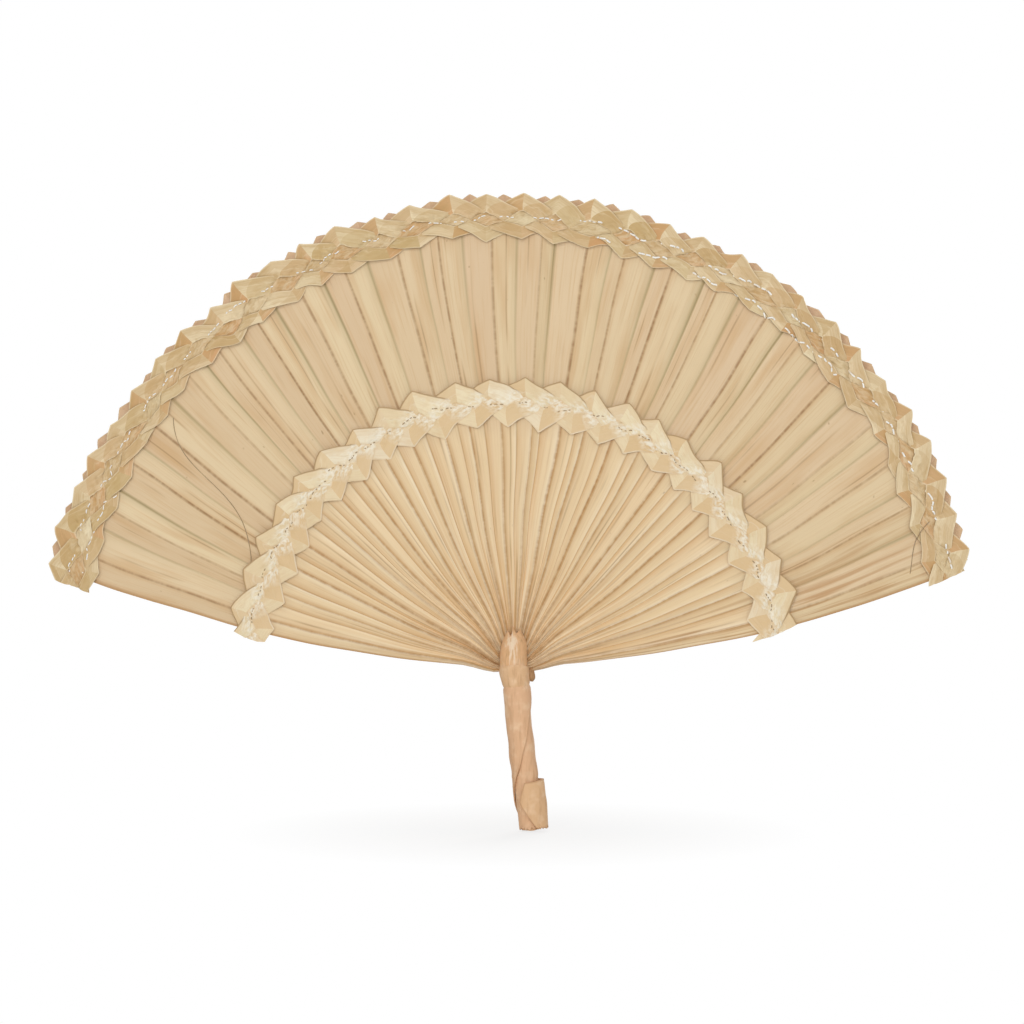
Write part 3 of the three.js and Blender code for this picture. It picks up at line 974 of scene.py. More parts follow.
def fold_strip(strands, tooth, outer_row, inner_row, cover, rise):
    """One repeat of a strip: a straight strip, folded section by section."""
    sections = strip_sections(strands, cover)
    steps = (len(sections) - 1) * CROSSING_STEPS
    strip = add_grid(steps, STRIP_ROWS)
    straight = [vertex.co.copy() for vertex in strip.data.vertices]
    open_mesh(strip)
    for step in range(steps + 1):
        before = min(step // CROSSING_STEPS, len(sections) - 2)
        part = step / CROSSING_STEPS - before
        (low_a, high_a, lift_a), (low_b, high_b, lift_b) = sections[before : before + 2]
        ease = (1 - math.cos(math.pi * part)) / 2
        lift = lerp(lift_a, lift_b, ease) * rise
        for row in range(STRIP_ROWS + 1):
            across = row / STRIP_ROWS
            corners = zip(low_a, high_a, low_b, high_b)
            x, y = (lerp(lerp(a, b, across), lerp(c, d, across), part) for a, b, c, d in corners)
            crown = CROWN * (1 - (2 * across - 1) ** 2)
            target = Vector((x * tooth, y * (outer_row if y > 0 else inner_row), lift + crown))
            move(strip, in_grid(steps, row, step), *(target - straight[row * (steps + 1) + step]))
    close_mesh()
    return strip


def mark_seam(piece, hub, radius, half_width):
    """Marks where a strip is sewn, fading out on both sides."""
    group = piece.vertex_groups.new(name="sewn")
    piece.vertex_groups.active = group
    open_mesh(piece)

    def near_seam(number, place):
        return abs(math.hypot(place.x - hub.x, place.z - hub.z) - radius) < half_width

    pick(piece, near_seam)
    bpy.ops.object.vertex_group_assign()
    bpy.ops.mesh.select_all(action="SELECT")
    bpy.ops.object.vertex_group_smooth(group_select_mode="ACTIVE", factor=0.5, repeat=5)
    close_mesh()


def make_plait(fan, name, node, slot, material, band, side, late, ends):
    """A band of strips: one is folded and repeated, then copied, cut to length and bent."""
    strands, teeth, width, rise, outermost, outer_share, tilt, soften, seam = band
    blade, plaits, handle = fan.blade, fan.plaits, fan.handle
    radius = outermost - outer_share * width
    row_height = width / (strands / 2 + plaits.cover)
    outer_row, inner_row = 2 * outer_share * row_height, 2 * (1 - outer_share) * row_height
    reach = spread_at(blade, radius) * radius + 2 * plaits.overhang
    tooth = reach / teeth
    repeat = strands * tooth
    pleat = (depth_at(blade, radius) + blade.thickness) / 2
    depth = pleat + rise + STAND_OFF * plaits.thickness
    master = fold_strip(strands, tooth, outer_row, inner_row, plaits.cover, rise)
    work(master, "SUBSURF", subdivision_type="SIMPLE", levels=1, render_levels=1)
    row = {"count": math.ceil(teeth / strands) + SPARE_REPEATS, "offset_u": 1}
    step = {"use_constant_offset": True, "constant_offset_displace": (repeat, 0, 0)}
    merge = {"use_merge_vertices": True, "merge_threshold": MERGE_REACH}
    work(master, "ARRAY", use_relative_offset=False, **row, **step, **merge)
    for number in range(strands):
        only(master)
        bpy.ops.object.duplicate()
        strip = bpy.context.object
        open_mesh(strip, "SELECT")
        shift(x=(number + late) * tooth - LEAD_IN * repeat - reach / 2)
        for end, over in zip((-1, 1), ends):
            bpy.ops.mesh.select_all(action="SELECT")
            cut = {"plane_co": (end * (reach / 2 + over), 0, 0), "plane_no": (end, END_SLANT, 0)}
            bpy.ops.mesh.bisect(clear_outer=True, **cut)
        bpy.ops.mesh.select_all(action="SELECT")
        bpy.ops.transform.rotate(value=-tilt, orient_axis="X", center_override=(0, 0, 0))
        shift(z=depth)
        stretch(1, 1, -side, (0, 0, 0))
        close_mesh()
        for corner in strip.data.uv_layers["UVMap"].data:
            corner.uv.y = min(max(corner.uv.y, UV_MARGIN), 1 - UV_MARGIN) + number
        work(strip, "SMOOTH", factor=0.5, iterations=soften)
        thicken(strip, plaits.thickness, 0)
        bend(strip, radius, -1)
        stand_on_hub(strip, handle, radius)
        mark_seam(strip, hub_place(handle), *seam)
        for play in (LEAF_PLAY, PLAIT_PLAY, EDGE_PLAY):
            weather(strip, *play)
        weather(strip, *CRUMPLE, CRUMPLE_RISE * rise, "sewn")
        smooth(strip, STRIP_SMOOTH)
        strand = f"{node}_strand_{number + 1}"
        hand_over(strip, f"{name}_strip_{number + 1}", material, slot, strand)
    bpy.data.objects.remove(master)


class FAN_OT_plaits(Operator):
    """Plait the two outer bands and the inner band"""

    bl_idname = "fan.plaits"
    bl_label = "Plaits"

    def execute(self, context):
        fan = context.scene.palm_fan
        plaits, tints = fan.plaits, fan.colours
        # pale, fibre, edge and gap also carry painted light and shade: pale on lit cells, teeth,
        # creases and crumples, fibre on shaded cells and beyond creases, edge along folded edges,
        # gap in the gaps between strips
        straw = plaited_strip(
            "plaited straw-coloured palm strip",
            plain=tints.strip, pale=tints.strip_pale, fibre=tints.strip_dull,
            turned=tints.strip_orange, every=2, shaded=tints.strip_olive,
            edge=tints.strip_pale, gap=tints.strip_gap, gap_share=0.5, crumple_light_share=0.35, cells=0.5,
        )
        weathered = plaited_strip(
            "plaited weathered palm strip",
            plain=tints.back_strip, pale=tints.strip, fibre=tints.back_dark,
            turned=tints.back_dark, every=2, shaded=tints.back_dark,
            edge=tints.strip, gap=tints.back_dark, gap_share=0.3, crumple_light_share=0.3, cells=0.3,
        )
        cream = plaited_strip(
            "plaited cream palm strip",
            plain=tints.cream_strip, pale=tints.cream_white, fibre=tints.cream_tan,
            turned=tints.cream_tan, every=1, shaded=tints.strip_pale,
            edge=tints.cream_tan, gap=tints.cream_tan, gap_share=0.6, crumple_light_share=0.9, cells=0.0,
            outline=tints.cream_edge,
        )
        # Strands, teeth, width, lift, outermost radius, share outside the middle row, tilt,
        # rounds of softening, and the seam with half its width
        outer = (
            plaits.outer_strands, plaits.outer_teeth, plaits.outer_width, plaits.lift,
            fan.blade.rim_radius, plaits.outer_share, 0, 1, (RIM_SEAM, RIM_SEAM_HALF),
        )
        inner = (
            plaits.inner_strands, plaits.inner_teeth, plaits.inner_width, plaits.inner_lift,
            plaits.inner_radius + plaits.inner_width / 2, 0.5, MIDDLE_TILT, 2,
            (MIDDLE_SEAM, MIDDLE_SEAM_HALF),
        )
        # Teeth that each plait starts late by, and how far its ends run past the reach
        for name, node, slot, material, band, side, late, ends in (
            ("front_rim", "outer_front", "outer", straw, outer, FRONT, 0.3, (3.5 * MM, 0.5 * MM)),
            ("back_rim", "outer_back", "back", weathered, outer, BACK, 0.8, (-2 * MM, -3 * MM)),
            ("middle", "inner", "inner", cream, inner, FRONT, 0.3, (1 * MM, -1.5 * MM)),
        ):
            names = (name, f"{node}_plait", f"{slot}_plait")
            make_plait(fan, *names, material, band, side, late, ends)
        return {"FINISHED"}


# Stitches

SECOND_ROW = 201.5 * MM
POINTS_PER_STITCH = 5
POINTS_PULLED_IN = (2, 3)
STITCHES_SEEN = (2, 5)
STITCHES_HIDDEN = (1, 4)
PULLED_IN = 0.9 * MM
ROW_PLAY = (6 * MM, 5 * MM, 0)
SEWING_HEIGHT = 30 * MM
# How far the thread's middle stands off the bed, as a share of its thickness
THREAD_RISE = 0.4
LOOSE_THREAD = 0.4 * MM
LOOSE_POINTS = 40
# Each end's place and the handles before and after it, in millimetres right of and above the hub
LEFT_END = (
    ((-157, 115), (-157, 122), (-156, 86)),
    ((-120.8, 48), (-122, 86), (-120.5, 44)),
)
RIGHT_END = (
    ((193, 67), (197, 71), (186, 60)),
    ((184.5, 43), (186, 55), (184, 40)),
)


def sewing_bed():
    """A copy of the leaf and the plaits as one mesh, for the thread to lie on."""
    clear()
    for piece in bpy.data.objects:
        if piece.get("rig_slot") in ("leaf", "outer_plait", "back_plait", "inner_plait"):
            piece.select_set(True)
            bpy.context.view_layer.objects.active = piece
    bpy.ops.object.duplicate()
    bpy.ops.object.join()
    bed = bpy.context.object
    bed.name = "sewing_bed"
    return bed


def lay_thread(path, bed, side, thickness):
    """Drops a line of points on the bed along Y, and leaves it open."""
    across = {"use_project_x": False, "use_project_y": True, "use_project_z": False}
    way = {"use_positive_direction": side == FRONT, "use_negative_direction": side == BACK}
    work(path, "SHRINKWRAP", target=bed, wrap_method="PROJECT", **across, **way)
    open_mesh(path, "SELECT")
    shift(y=side * thickness * THREAD_RISE)


def spin_thread(path, thickness):
    """Gives a line of points the thread's thickness."""
    only(path)
    bpy.ops.object.convert(target="CURVE")
    thread = bpy.context.object
    thread.data.dimensions = "3D"
    thread.data.bevel_depth = thickness / 2
    thread.data.bevel_resolution = 1
    thread.data.use_fill_caps = True
    bpy.ops.object.convert(target="MESH")
    bpy.ops.object.shade_smooth()
    return bpy.context.object


def sew_row(fan, bed, name, slot, material, side, radius, span, pitch, thickness):
    """A row of stitches round the hub: an arc laid on the bed, its ends of stitches pulled in."""
    hub = hub_place(fan.handle)
    points = POINTS_PER_STITCH * round(2 * math.pi * radius / pitch)
    clear()
    bpy.ops.mesh.primitive_circle_add(
        vertices=points, radius=radius, fill_type="NOTHING", rotation=(math.pi / 2, math.pi, 0)
    )
    path = bpy.context.object
    path.location = hub + Vector((0, side * SEWING_HEIGHT, 0))
    settle(path)
    open_mesh(path)
    start, end = span

    def outside(number, place):
        return not start < math.atan2(place.x - hub.x, place.z - hub.z) < end

    pick(path, outside)
    bpy.ops.mesh.delete(type="VERT")
    close_mesh()
    for play in (LEAF_PLAY, PLAIT_PLAY, ROW_PLAY):
        weather(path, *play)
    lay_thread(path, bed, side, thickness)
    luck = random.Random(round(radius / MM))
    sunk = []
    while len(sunk) * POINTS_PER_STITCH <= points:
        sunk += [luck.randint(*POINTS_PULLED_IN) for stitch in range(luck.randint(*STITCHES_SEEN))]
        sunk += [POINTS_PER_STITCH] * luck.randint(*STITCHES_HIDDEN)

    def pulled_in(number, place):
        return number % POINTS_PER_STITCH < sunk[number // POINTS_PER_STITCH]

    move(path, pulled_in, y=-side * PULLED_IN)
    close_mesh()
    hand_over(spin_thread(path, thickness), name, material, slot)


def loose_thread(fan, bed, name, ends, material):
    """A loose end of thread that lies on the leaf: a curve between two places."""
    hub = hub_place(fan.handle)
    clear()
    bpy.ops.curve.primitive_bezier_curve_add()
    path = bpy.context.object
    for point, (place, before, after) in zip(path.data.splines[0].bezier_points, ends):
        point.handle_left_type = point.handle_right_type = "FREE"
        for part, (x, z) in (("co", place), ("handle_left", before), ("handle_right", after)):
            setattr(point, part, (hub.x + x * MM, -SEWING_HEIGHT, hub.z + z * MM))
    path.data.resolution_u = LOOSE_POINTS
    bpy.ops.object.convert(target="MESH")
    path = bpy.context.object
    settle(path)
    lay_thread(path, bed, FRONT, LOOSE_THREAD)
    close_mesh()
    hand_over(spin_thread(path, LOOSE_THREAD), name, material, "outer_plait")


class FAN_OT_stitches(Operator):
    """Sew the plaits to the leaf"""

    bl_idname = "fan.stitches"
    bl_label = "Stitches"

    def execute(self, context):
        fan = context.scene.palm_fan
        # White thread: painted glints of a clear thread
        nylon = clear_thread("clear nylon thread", fan.colours.thread, fan.colours.strip)
        # Grey-brown thread: painted shade of a clear thread lying on the leaf
        grey = clear_thread("soiled nylon thread", fan.colours.shadowed, fan.colours.strip)
        thread = fan.plaits.thread
        thick, thin = 1.5 * thread, 0.7 * thread
        bed = sewing_bed()
        half = fan.blade.rim_spread / 2
        middle_half = spread_at(fan.blade, fan.plaits.inner_radius) / 2
        right_from, right_to, left_to = (math.radians(turn) for turn in (11, 49, -66))
        near, right, far = (-half, right_from), (right_from, right_to), (right_from, half)
        left, whole, middle = (-half, left_to), (-half, half), (-middle_half, middle_half)
        for name, slot, material, side, radius, span, pitch, thickness in (
            ("rim_stitches", "outer", nylon, FRONT, RIM_SEAM, near, 2.4, thread),
            ("rim_stitches_right", "outer", nylon, FRONT, SECOND_ROW, right, 3.2, thick),
            ("rim_stitches_far", "outer", nylon, FRONT, RIM_SEAM, far, 3.1, thick),
            ("rim_stitches_left", "outer", nylon, FRONT, SECOND_ROW, left, 3, thread),
            ("rim_stitches_back", "back", nylon, BACK, RIM_SEAM, whole, 3, thread),
            ("middle_stitches", "inner", grey, FRONT, MIDDLE_SEAM, middle, 1.8, thin),
            ("middle_stitches_back", "inner", nylon, BACK, MIDDLE_SEAM, middle, 2.2, thread),
        ):
            row = (side, radius, span, pitch * MM, thickness)
            sew_row(fan, bed, name, f"{slot}_plait", material, *row)
        loose_thread(fan, bed, "loose_thread_left", LEFT_END, grey)
        loose_thread(fan, bed, "loose_thread_right", RIGHT_END, grey)
        bpy.data.objects.remove(bed)
        return {"FINISHED"}


# Handle

ROUND_SIDES = 40
HANDLE_SMOOTH = 35
FIT_GAP = 0.3 * MM
LEVEL_REACH = 0.1 * MM
# Heights as shares of the tongue and radii as shares of the head, up to a hollow in the tip
SHOULDER_RISE, SHOULDER = 0.7 * MM, 0.98
HEAD_PROFILE = (
    (0.15, 0.97), (0.3, 0.94), (0.45, 0.89), (0.58, 0.82), (0.7, 0.73), (0.81, 0.66), (0.9, 0.6),
    (1, 0.54), (0.72, 0.2),
)
# Heights as shares of the tongue, and how far the ring there follows the torn tip
TORN_RINGS = ((0.81, 0.25), (0.9, 0.6), (1, 1))
# Steps from the middle of the tip to its sides, each a share of the head's radius
TORN_STEPS, TORN_STEP = 6, 0.1
TORN_PITCH, TORN_DEPTH, TORN_SLOPE = 3.6 * MM, 1.8 * MM, 0.5
TORN_CENTRE = Vector((0, -6, 11)) * MM
TORN_SIZE = Vector((3, 5, 10)) * MM
STEM_PLAY = (9 * MM, 2 * MM, 2 * MM)
# The slot's outer radius over its inner one, and how far down it opens as a share of a radius
SLOT_GROWTH, SLOT_FLOOR = 4.5, -0.1
SLOT_SIDES, SLOT_SPARE = 48, 1.4 * MM


def make_stalk(fan):
    """The stem: a rod drawn up into a neck and a head, its tip torn into points."""
    handle = fan.handle
    height = handle.length - handle.neck_end
    foot = (0, 0, -handle.length + height / 2)
    clear()
    bpy.ops.mesh.primitive_cylinder_add(
        vertices=ROUND_SIDES, radius=handle.stalk_radius, depth=height, location=foot
    )
    stem = bpy.context.object
    settle(stem)
    open_mesh(stem)
    pick(stem, lambda number, place: place.z > -handle.neck_end - LEVEL_REACH)
    head, tongue = handle.head_radius, handle.tongue
    profile = [
        (-handle.neck_end + FIT_GAP, handle.neck_radius),
        (-handle.neck_top + FIT_GAP, handle.neck_radius),
        (-handle.neck_top + SHOULDER_RISE, SHOULDER * head),
    ]
    profile += [(up * tongue, wide * head) for up, wide in HEAD_PROFILE]
    upright = math.tan(handle.lean)
    top, wide = -handle.neck_end, handle.stalk_radius
    for level, radius in profile:
        centre = upright * max(0, level)
        step = (centre - upright * max(0, top), 0, level - top)
        bpy.ops.mesh.extrude_region_move(TRANSFORM_OT_translate={"value": step})
        stretch(radius / wide, radius / wide, 1, (centre, 0, level))
        top, wide = level, radius
    for up, follow in TORN_RINGS:
        level = up * tongue
        for step in range(-TORN_STEPS, TORN_STEPS + 1):
            aside = step * TORN_STEP * head
            point = TORN_DEPTH * (1 - math.cos(2 * math.pi * aside / TORN_PITCH))
            across = aside + upright * level

            def in_notch(number, place):
                beside = abs(place.x - across) < TORN_STEP / 2 * head
                return beside and abs(place.z - level) < LEVEL_REACH

            move(stem, in_notch, z=-(TORN_SLOPE * abs(aside) + point) * follow)
    close_mesh()
    set_on_handle(stem, handle)
    return stem


def cut_slot(stem, fan):
    """The slot in the stem's head that the leaf's pleats run into."""
    blade = fan.blade
    inner = blade.base_radius - FIT_GAP
    clear()
    bpy.ops.mesh.primitive_circle_add(
        vertices=SLOT_SIDES, radius=inner, fill_type="NOTHING", rotation=(math.pi / 2, 0, 0)
    )
    slot = bpy.context.object
    settle(slot)
    open_mesh(slot, "SELECT")
    bpy.ops.mesh.extrude_region_move(TRANSFORM_OT_translate={"value": (0, 0, 0)})
    stretch(SLOT_GROWTH, 1, SLOT_GROWTH, (0, 0, 0))
    pick(slot, lambda number, place: place.z < SLOT_FLOOR * place.length)
    bpy.ops.mesh.delete(type="VERT")
    bpy.ops.mesh.select_all(action="SELECT")
    bpy.ops.mesh.normals_make_consistent(inside=False)
    close_mesh()
    thicken(slot, depth_at(blade, blade.base_radius) + SLOT_SPARE, 0)
    slot.location = hub_place(fan.handle)
    settle(slot)
    work(stem, "BOOLEAN", operation="DIFFERENCE", object=slot, solver="EXACT")
    bpy.data.objects.remove(slot)


class FAN_OT_stalk(Operator):
    """Make the stalk with its torn tongue"""

    bl_idname = "fan.stalk"
    bl_label = "Stalk"

    def execute(self, context):
        fan = context.scene.palm_fan
        colours = fan.colours
        stem = make_stalk(fan)
        weather(stem, *STEM_PLAY)
        cut_slot(stem, fan)
        smooth(stem, HANDLE_SMOOTH)
        tones = (colours.stalk, colours.wrap_pale, colours.stalk_streak)
        patch = (hub_place(fan.handle) + TORN_CENTRE, TORN_SIZE, colours.stalk_pale)
        peeled = fibrous("peeled palm stem", *tones, 0.9 * MM, 14 * MM, torn=patch)
        hand_over(stem, "stem", peeled, "stalk", "stalk")
        return {"FINISHED"}


# Neck

NECK_COLUMNS, NECK_ROWS = 48, 6
NECK_START, NECK_TURN = math.radians(-340), math.radians(425)
NECK_GROWTH = 0.25 * MM
NECK_FOOT_TUCK, NECK_TOP_TUCK = 0.4 * MM, 0.2 * MM
# The power by which the band widens upwards
NECK_CURVE = 1.5
NECK_CREST, CREST_LEAST = 2 * MM, 0.2
NECK_THICKNESS = 0.3 * MM
WRAP_PLAY = (14 * MM, 1.6 * MM, 1.6 * MM)
ROLL_COLUMNS, ROLL_ROWS = 40, 8
ROLL_CORE, ROLL_TURN = 0.7 * MM, math.radians(800)
ROLL_GROWTH, ROLL_THICKNESS = 1.15 * MM, 0.22 * MM
ROLL_TAPER = 0.3
ROLL_TILT = math.radians(12)
ROLL_ASIDE, ROLL_RISE = -0.4 * MM, 1 * MM
ROLL_PLAY = (5 * MM, 2 * MM, 2 * MM)


def flat_wrap(radius, start, turn, top, foot, columns, rows):
    """A flat strip in front of the handle, as wide as its turn round it."""
    strip = add_grid(columns, rows, rotation=(math.pi / 2, 0, 0))
    strip.scale = (radius * turn, foot - top, 1)
    strip.location = (radius * (start + turn / 2), 0, -(top + foot) / 2)
    settle(strip)
    return strip


def wind(strip, columns, growth):
    """Brings each column of a flat wrap further out than the one before, as in a spiral."""
    for column in range(columns + 1):
        move(strip, in_grid(columns, column=column), y=-growth * column / columns)


def make_band(handle):
    """The neck binding: a strip wound round the neck, wider and arched at its top."""
    radius = handle.neck_radius + FIT_GAP
    height = (handle.neck_top, handle.neck_end)
    band = flat_wrap(radius, NECK_START, NECK_TURN, *height, NECK_COLUMNS, NECK_ROWS)
    open_mesh(band)
    wind(band, NECK_COLUMNS, NECK_GROWTH)
    tucks = {0: NECK_FOOT_TUCK, NECK_ROWS: NECK_TOP_TUCK}
    for row in range(NECK_ROWS + 1):
        flare = handle.neck_flare * (row / NECK_ROWS) ** NECK_CURVE
        move(band, in_grid(NECK_COLUMNS, row=row), y=tucks.get(row, 0) - flare)
    for column in range(NECK_COLUMNS + 1):
        around = NECK_START + NECK_TURN * column / NECK_COLUMNS
        crest = NECK_CREST * lerp(CREST_LEAST, 1, math.cos(around) ** 2)
        move(band, in_grid(NECK_COLUMNS, NECK_ROWS, column), z=crest)
    close_mesh()
    bend(band, radius, 1)
    set_on_handle(band, handle, -radius)
    weather(band, *WRAP_PLAY)
    thicken(band, NECK_THICKNESS, 1)
    smooth(band, HANDLE_SMOOTH)
    return band


def make_roll(handle):
    """The rolled end of the wrap, tucked in beside the neck."""
    low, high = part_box("neck_knot")
    middle, tall = (low + high) / 2, high.z - low.z
    roll = flat_wrap(ROLL_CORE, 0, ROLL_TURN, 0, tall, ROLL_COLUMNS, ROLL_ROWS)
    open_mesh(roll)
    wind(roll, ROLL_COLUMNS, ROLL_GROWTH)
    close_mesh()
    bend(roll, ROLL_CORE, 1)
    open_mesh(roll)
    for row in range(ROLL_ROWS + 1):
        pick(roll, in_grid(ROLL_COLUMNS, row=row))
        full = lerp(ROLL_TAPER, 1, math.sin(math.pi * row / ROLL_ROWS))
        stretch(full, full, 1, (0, ROLL_CORE, tall * (row / ROLL_ROWS - 1)))
    close_mesh()
    thicken(roll, ROLL_THICKNESS, 0)
    roll.rotation_euler.y = ROLL_TILT - handle.lean
    roll.location = (middle.x + ROLL_ASIDE, middle.y - ROLL_CORE, high.z + ROLL_RISE)
    settle(roll)
    weather(roll, *ROLL_PLAY)
    smooth(roll, HANDLE_SMOOTH)
    return roll


class FAN_OT_neck(Operator):
    """Make the neck binding and its rolled end"""

    bl_idname = "fan.neck"
    bl_label = "Neck binding"

    def execute(self, context):
        handle, colours = context.scene.palm_fan.handle, context.scene.palm_fan.colours
        tones = (colours.binding, colours.wrap_pale, colours.wrap_dark)
        tan = fibrous("tan palm binding", *tones, 1.6 * MM, 9 * MM)
        hand_over(make_band(handle), "neck_band", tan, "stalk", "neck_binding")
        tones = (colours.knot, colours.wrap_dark, colours.knot_dark)
        brown = fibrous("brown rolled palm strip", *tones, 0.6 * MM, 5 * MM)
        hand_over(make_roll(handle), "neck_roll", brown, "handle_wrap", "neck_knot")
        return {"FINISHED"}


# Wraps

TEAR_SEED = 5
WRAP_COLUMNS, WRAP_ROWS = 54, 30
WRAP_TUCK, BUTT_INSET = 1 * MM, 0.5 * MM
WRAP_TEARS = (0, 1.4 * MM)
# The wrap swells above the tab, and twice as far at its top
SWELL, SWELL_FROM, SWELL_TOP = 0.4 * MM, 0.36, 0.75
# The seam winds faster over the foot
FAST_SEAM, FAST_SEAM_REACH = 0.22, 0.45
TAB_COLUMNS, TAB_ROWS = 44, 10
TAB_START, TAB_TURN = math.radians(-6), math.radians(215)
TAB_CORNER, TAB_SLANT = 0.43, math.radians(31)
TAB_LIFT, TAB_LIFT_AT, TAB_LIFT_EDGE = 1.3 * MM, math.radians(95), 6
TAB_THICKNESS = 0.45 * MM
TAB_TEARS = (-0.3 * MM, 0.6 * MM)


def wrap_up(strip, handle, radius, thickness, columns, tears):
    """Tears the foot of a flat wrap, bends it round the handle and gives it its thickness."""
    luck, shortest, longest = tears
    for column in range(columns + 1):
        move(strip, in_grid(columns, 0, column), z=luck.uniform(shortest, longest))
    close_mesh()
    bend(strip, radius, 1)
    thicken(strip, thickness, 1)
    set_on_handle(strip, handle, -radius)
    weather(strip, *WRAP_PLAY)
    smooth(strip, HANDLE_SMOOTH)


def make_wrap(handle, radius, growth, luck):
    """The long wrap: a sheet wound round the stalk, its seam winding down it."""
    foot, turn = handle.length - BUTT_INSET, handle.wrap_turn
    height = (handle.neck_end - WRAP_TUCK, foot)
    wrap = flat_wrap(radius, handle.seam - turn, turn, *height, WRAP_COLUMNS, WRAP_ROWS)
    open_mesh(wrap)
    wind(wrap, WRAP_COLUMNS, growth)
    for row in range(WRAP_ROWS + 1):
        up = row / WRAP_ROWS
        fuller = 1 + max(0, (up - SWELL_TOP) / (1 - SWELL_TOP))
        swell = SWELL * fuller if SWELL_FROM < up < 1 else 0
        down = 1 - up + FAST_SEAM * max(0, 1 - up / FAST_SEAM_REACH)
        move(wrap, in_grid(WRAP_COLUMNS, row=row), x=radius * handle.seam_twist * down, y=-swell)
    tears = (luck, *WRAP_TEARS)
    wrap_up(wrap, handle, radius, handle.wrap_thickness, WRAP_COLUMNS, tears)
    return wrap


def make_tab(handle, radius, luck):
    """The end wrap: a shorter sheet with one edge cut to a point, its right side standing off."""
    foot = handle.length - BUTT_INSET
    height = (foot - handle.end_wrap, foot)
    tab = flat_wrap(radius, TAB_START, TAB_TURN, *height, TAB_COLUMNS, TAB_ROWS)
    open_mesh(tab)
    for row in range(TAB_ROWS + 1):
        down = 1 - row / TAB_ROWS
        if down < TAB_CORNER:
            slant = -TAB_SLANT * down / TAB_CORNER
        else:
            slant = lerp(-TAB_SLANT, TAB_SLANT, (down - TAB_CORNER) / (1 - TAB_CORNER))
        for column in range(TAB_COLUMNS + 1):
            slide = slant * (1 - column / TAB_COLUMNS)
            around = TAB_START + slide + TAB_TURN * column / TAB_COLUMNS
            off = TAB_LIFT * max(0, math.cos(around - TAB_LIFT_AT)) ** TAB_LIFT_EDGE
            move(tab, in_grid(TAB_COLUMNS, row, column), x=radius * slide, y=-off)
    wrap_up(tab, handle, radius, TAB_THICKNESS, TAB_COLUMNS, (luck, *TAB_TEARS))
    return tab


class FAN_OT_wraps(Operator):
    """Wrap the handle and its end"""

    bl_idname = "fan.wraps"
    bl_label = "Handle wraps"

    def execute(self, context):
        handle, colours = context.scene.palm_fan.handle, context.scene.palm_fan.colours
        luck = random.Random(TEAR_SEED)
        fibres = (colours.wrap_pale, colours.wrap_dark)
        # How far the dark edges reach in: at the sides, and at the top and the foot
        pinkish = fibrous("pinkish palm wrap", colours.wrap, *fibres, 1.6 * MM, 12 * MM, (0.015,))
        edges = (0.03, 0.04)
        lighter = fibrous("light palm wrap", colours.binding, *fibres, 2.4 * MM, 12 * MM, edges)
        radius = handle.stalk_radius + FIT_GAP
        growth = (handle.wrap_thickness + FIT_GAP) * handle.wrap_turn / (2 * math.pi)
        wrap = make_wrap(handle, radius, growth, luck)
        hand_over(wrap, "long_wrap", pinkish, "handle_wrap", "handle_wrap")
        tab = make_tab(handle, radius + growth + handle.wrap_thickness + FIT_GAP, luck)
        hand_over(tab, "end_tab", lighter, "handle_wrap", "end_wrap")
        return {"FINISHED"}


# Stage

FLOOR_SIZE, FLOOR_DROP = 8, 0.5 * MM
SKY_LIGHT = 0.38
# Places from the middle of the fan and sizes in metres, and powers in watts
LAMPS = (
    ("key", (-0.2, -1.65, 0.3), 1.2, 13.8),
    ("front", (0.4, -1.75, -0.15), 1.2, 6.5),
    ("back", (0.6, 1.5, 0.7), 0.9, 14.0),
)
LENS, SENSOR = 100, 36
FAN_IN_FRAME = 0.905


def white_paper():
    """Matt white paper, swept out flat. It gives the eye a white ground and a soft shadow."""
    paper, tree = begin_material("white paper sweep")
    matt = add(tree, "BsdfDiffuse", {"Color": linear("#F2F1EF")})[0]
    glow = add(tree, "Emission", {"Color": linear("#FFFFFF"), "Strength": 1})[0]
    away = add(tree, "VectorMath", {0: add(tree, "TexCoord")[3]}, operation="LENGTH")[1]
    found = {"camera": add(tree, "LightPath")["Is Camera Ray"], "away": away}
    steps = (
        ("fade", "MapRange", "away", 20 * MM, 140 * MM, 0.75, 1.0),
        ("seen", "MULTIPLY", "camera", "fade"),
    )
    work_out(tree, found, steps)
    mixed = add(tree, "MixShader", {0: found["seen"], 1: matt, 2: glow})[0]
    add(tree, "OutputMaterial", {"Surface": mixed})
    return paper


def white_studio():
    """A white surround that lights the fan less than the camera sees it."""
    world = bpy.data.worlds.new("white studio")
    world.use_nodes = True
    tree = world.node_tree
    tree.nodes.clear()
    path = add(tree, "LightPath")
    found = {ray: path[f"Is {ray} Ray"] for ray in ("Camera", "Glossy", "Transmission")}
    steps = (
        ("seen", "MAXIMUM", "Camera", "Glossy"),
        ("seen", "MAXIMUM", "seen", "Transmission"),
        ("strength", "MapRange", "seen", 0, 1, SKY_LIGHT, 1),
    )
    work_out(tree, found, steps)
    light = {"Color": linear("#FFFFFF"), "Strength": found["strength"]}
    add(tree, "OutputWorld", {"Surface": add(tree, "Background", light)[0]})
    return world


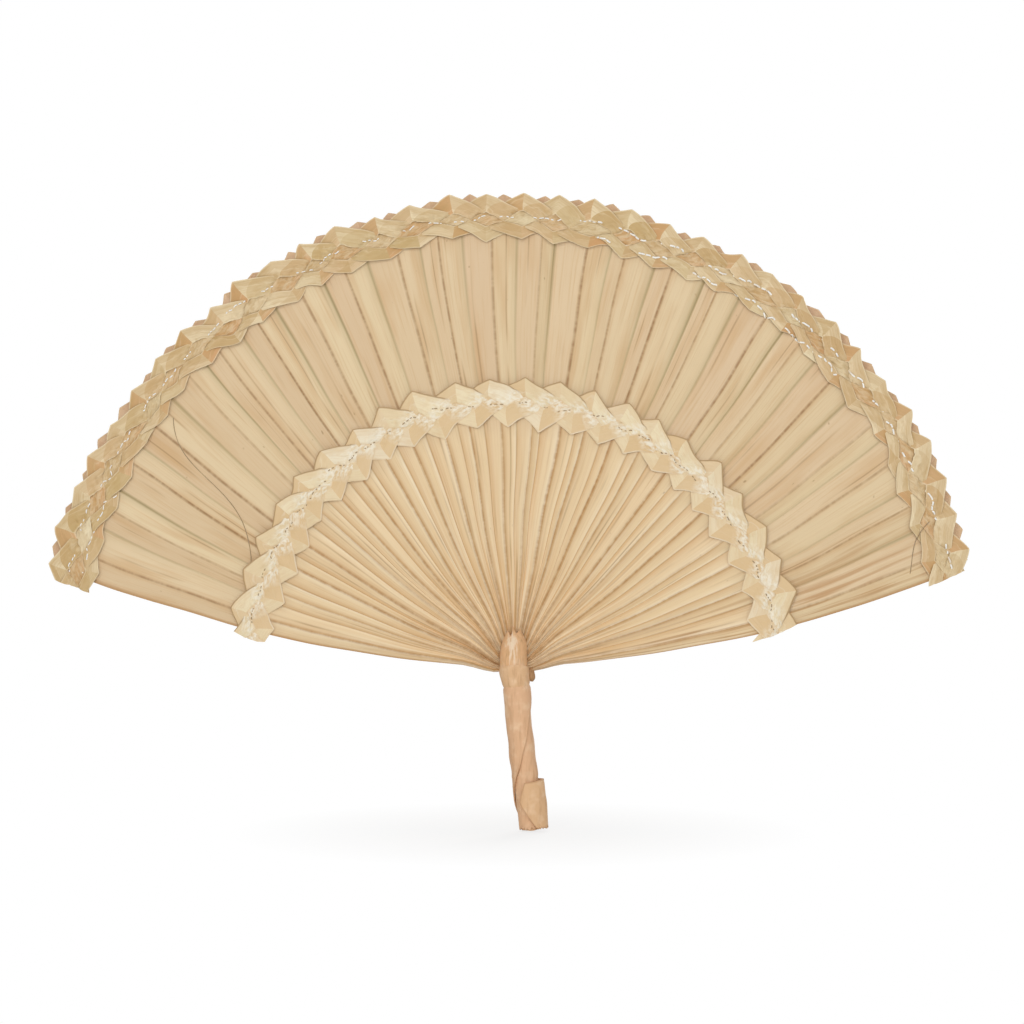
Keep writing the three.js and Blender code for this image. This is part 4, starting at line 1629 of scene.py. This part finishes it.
class FAN_OT_stage(Operator):
    """Set the floor, the light and the camera"""

    bl_idname = "fan.stage"
    bl_label = "Stage"

    def execute(self, context):
        scene = context.scene
        low, high = cad_box
        middle = (low + high) / 2
        clear()
        bpy.ops.mesh.primitive_plane_add(size=FLOOR_SIZE, location=(0, 0, low.z - FLOOR_DROP))
        floor = context.object
        floor.name = "floor"
        settle(floor)
        floor.data.materials.append(white_paper())
        scene.world = white_studio()
        for name, place, size, power in LAMPS:
            clear()
            bpy.ops.object.light_add(type="AREA", location=middle + Vector(place))
            lamp = context.object
            lamp.name = name
            lamp.data.size = size
            lamp.data.energy = power
            lamp.rotation_euler = (-Vector(place)).to_track_quat("-Z", "Y").to_euler()
        away = (high.x - low.x) / FAN_IN_FRAME * LENS / SENSOR
        clear()
        bpy.ops.object.camera_add(
            location=(middle.x, middle.y - away, middle.z), rotation=(math.pi / 2, 0, 0)
        )
        scene.camera = context.object
        scene.camera.data.lens = LENS
        scene.camera.data.sensor_width = SENSOR
        scene.view_settings.view_transform = "Standard"
        return {"FINISHED"}


class FAN_PT_panel(Panel):
    """Lists the sizes and colours of the fan and the steps that make it"""

    bl_idname = "FAN_PT_panel"
    bl_label = "Palm leaf fan"
    bl_space_type = "VIEW_3D"
    bl_region_type = "UI"
    bl_category = "Fan"

    def draw(self, context):
        fan = context.scene.palm_fan
        for group in (fan.blade, fan.plaits, fan.handle, fan.colours):
            box = self.layout.box()
            for name in type(group).__annotations__:
                box.prop(group, name)
        for step in STEPS:
            self.layout.operator(step.bl_idname)


STEPS = (
    FAN_OT_leaflets,
    FAN_OT_plaits,
    FAN_OT_stitches,
    FAN_OT_stalk,
    FAN_OT_neck,
    FAN_OT_wraps,
    FAN_OT_stage,
)
CLASSES = (FanBlade, FanPlaits, FanHandle, FanColours, FanSettings, *STEPS, FAN_PT_panel)


def register():
    for kind in CLASSES:
        bpy.utils.register_class(kind)
    bpy.types.Scene.palm_fan = PointerProperty(type=FanSettings)


def unregister():
    del bpy.types.Scene.palm_fan
    for kind in reversed(CLASSES):
        bpy.utils.unregister_class(kind)


def main():
    register()
    bpy.ops.fan.leaflets()
    bpy.ops.fan.plaits()
    bpy.ops.fan.stitches()
    bpy.ops.fan.stalk()
    bpy.ops.fan.neck()
    bpy.ops.fan.wraps()
    bpy.ops.fan.stage()


if __name__ == "__main__":
    main()
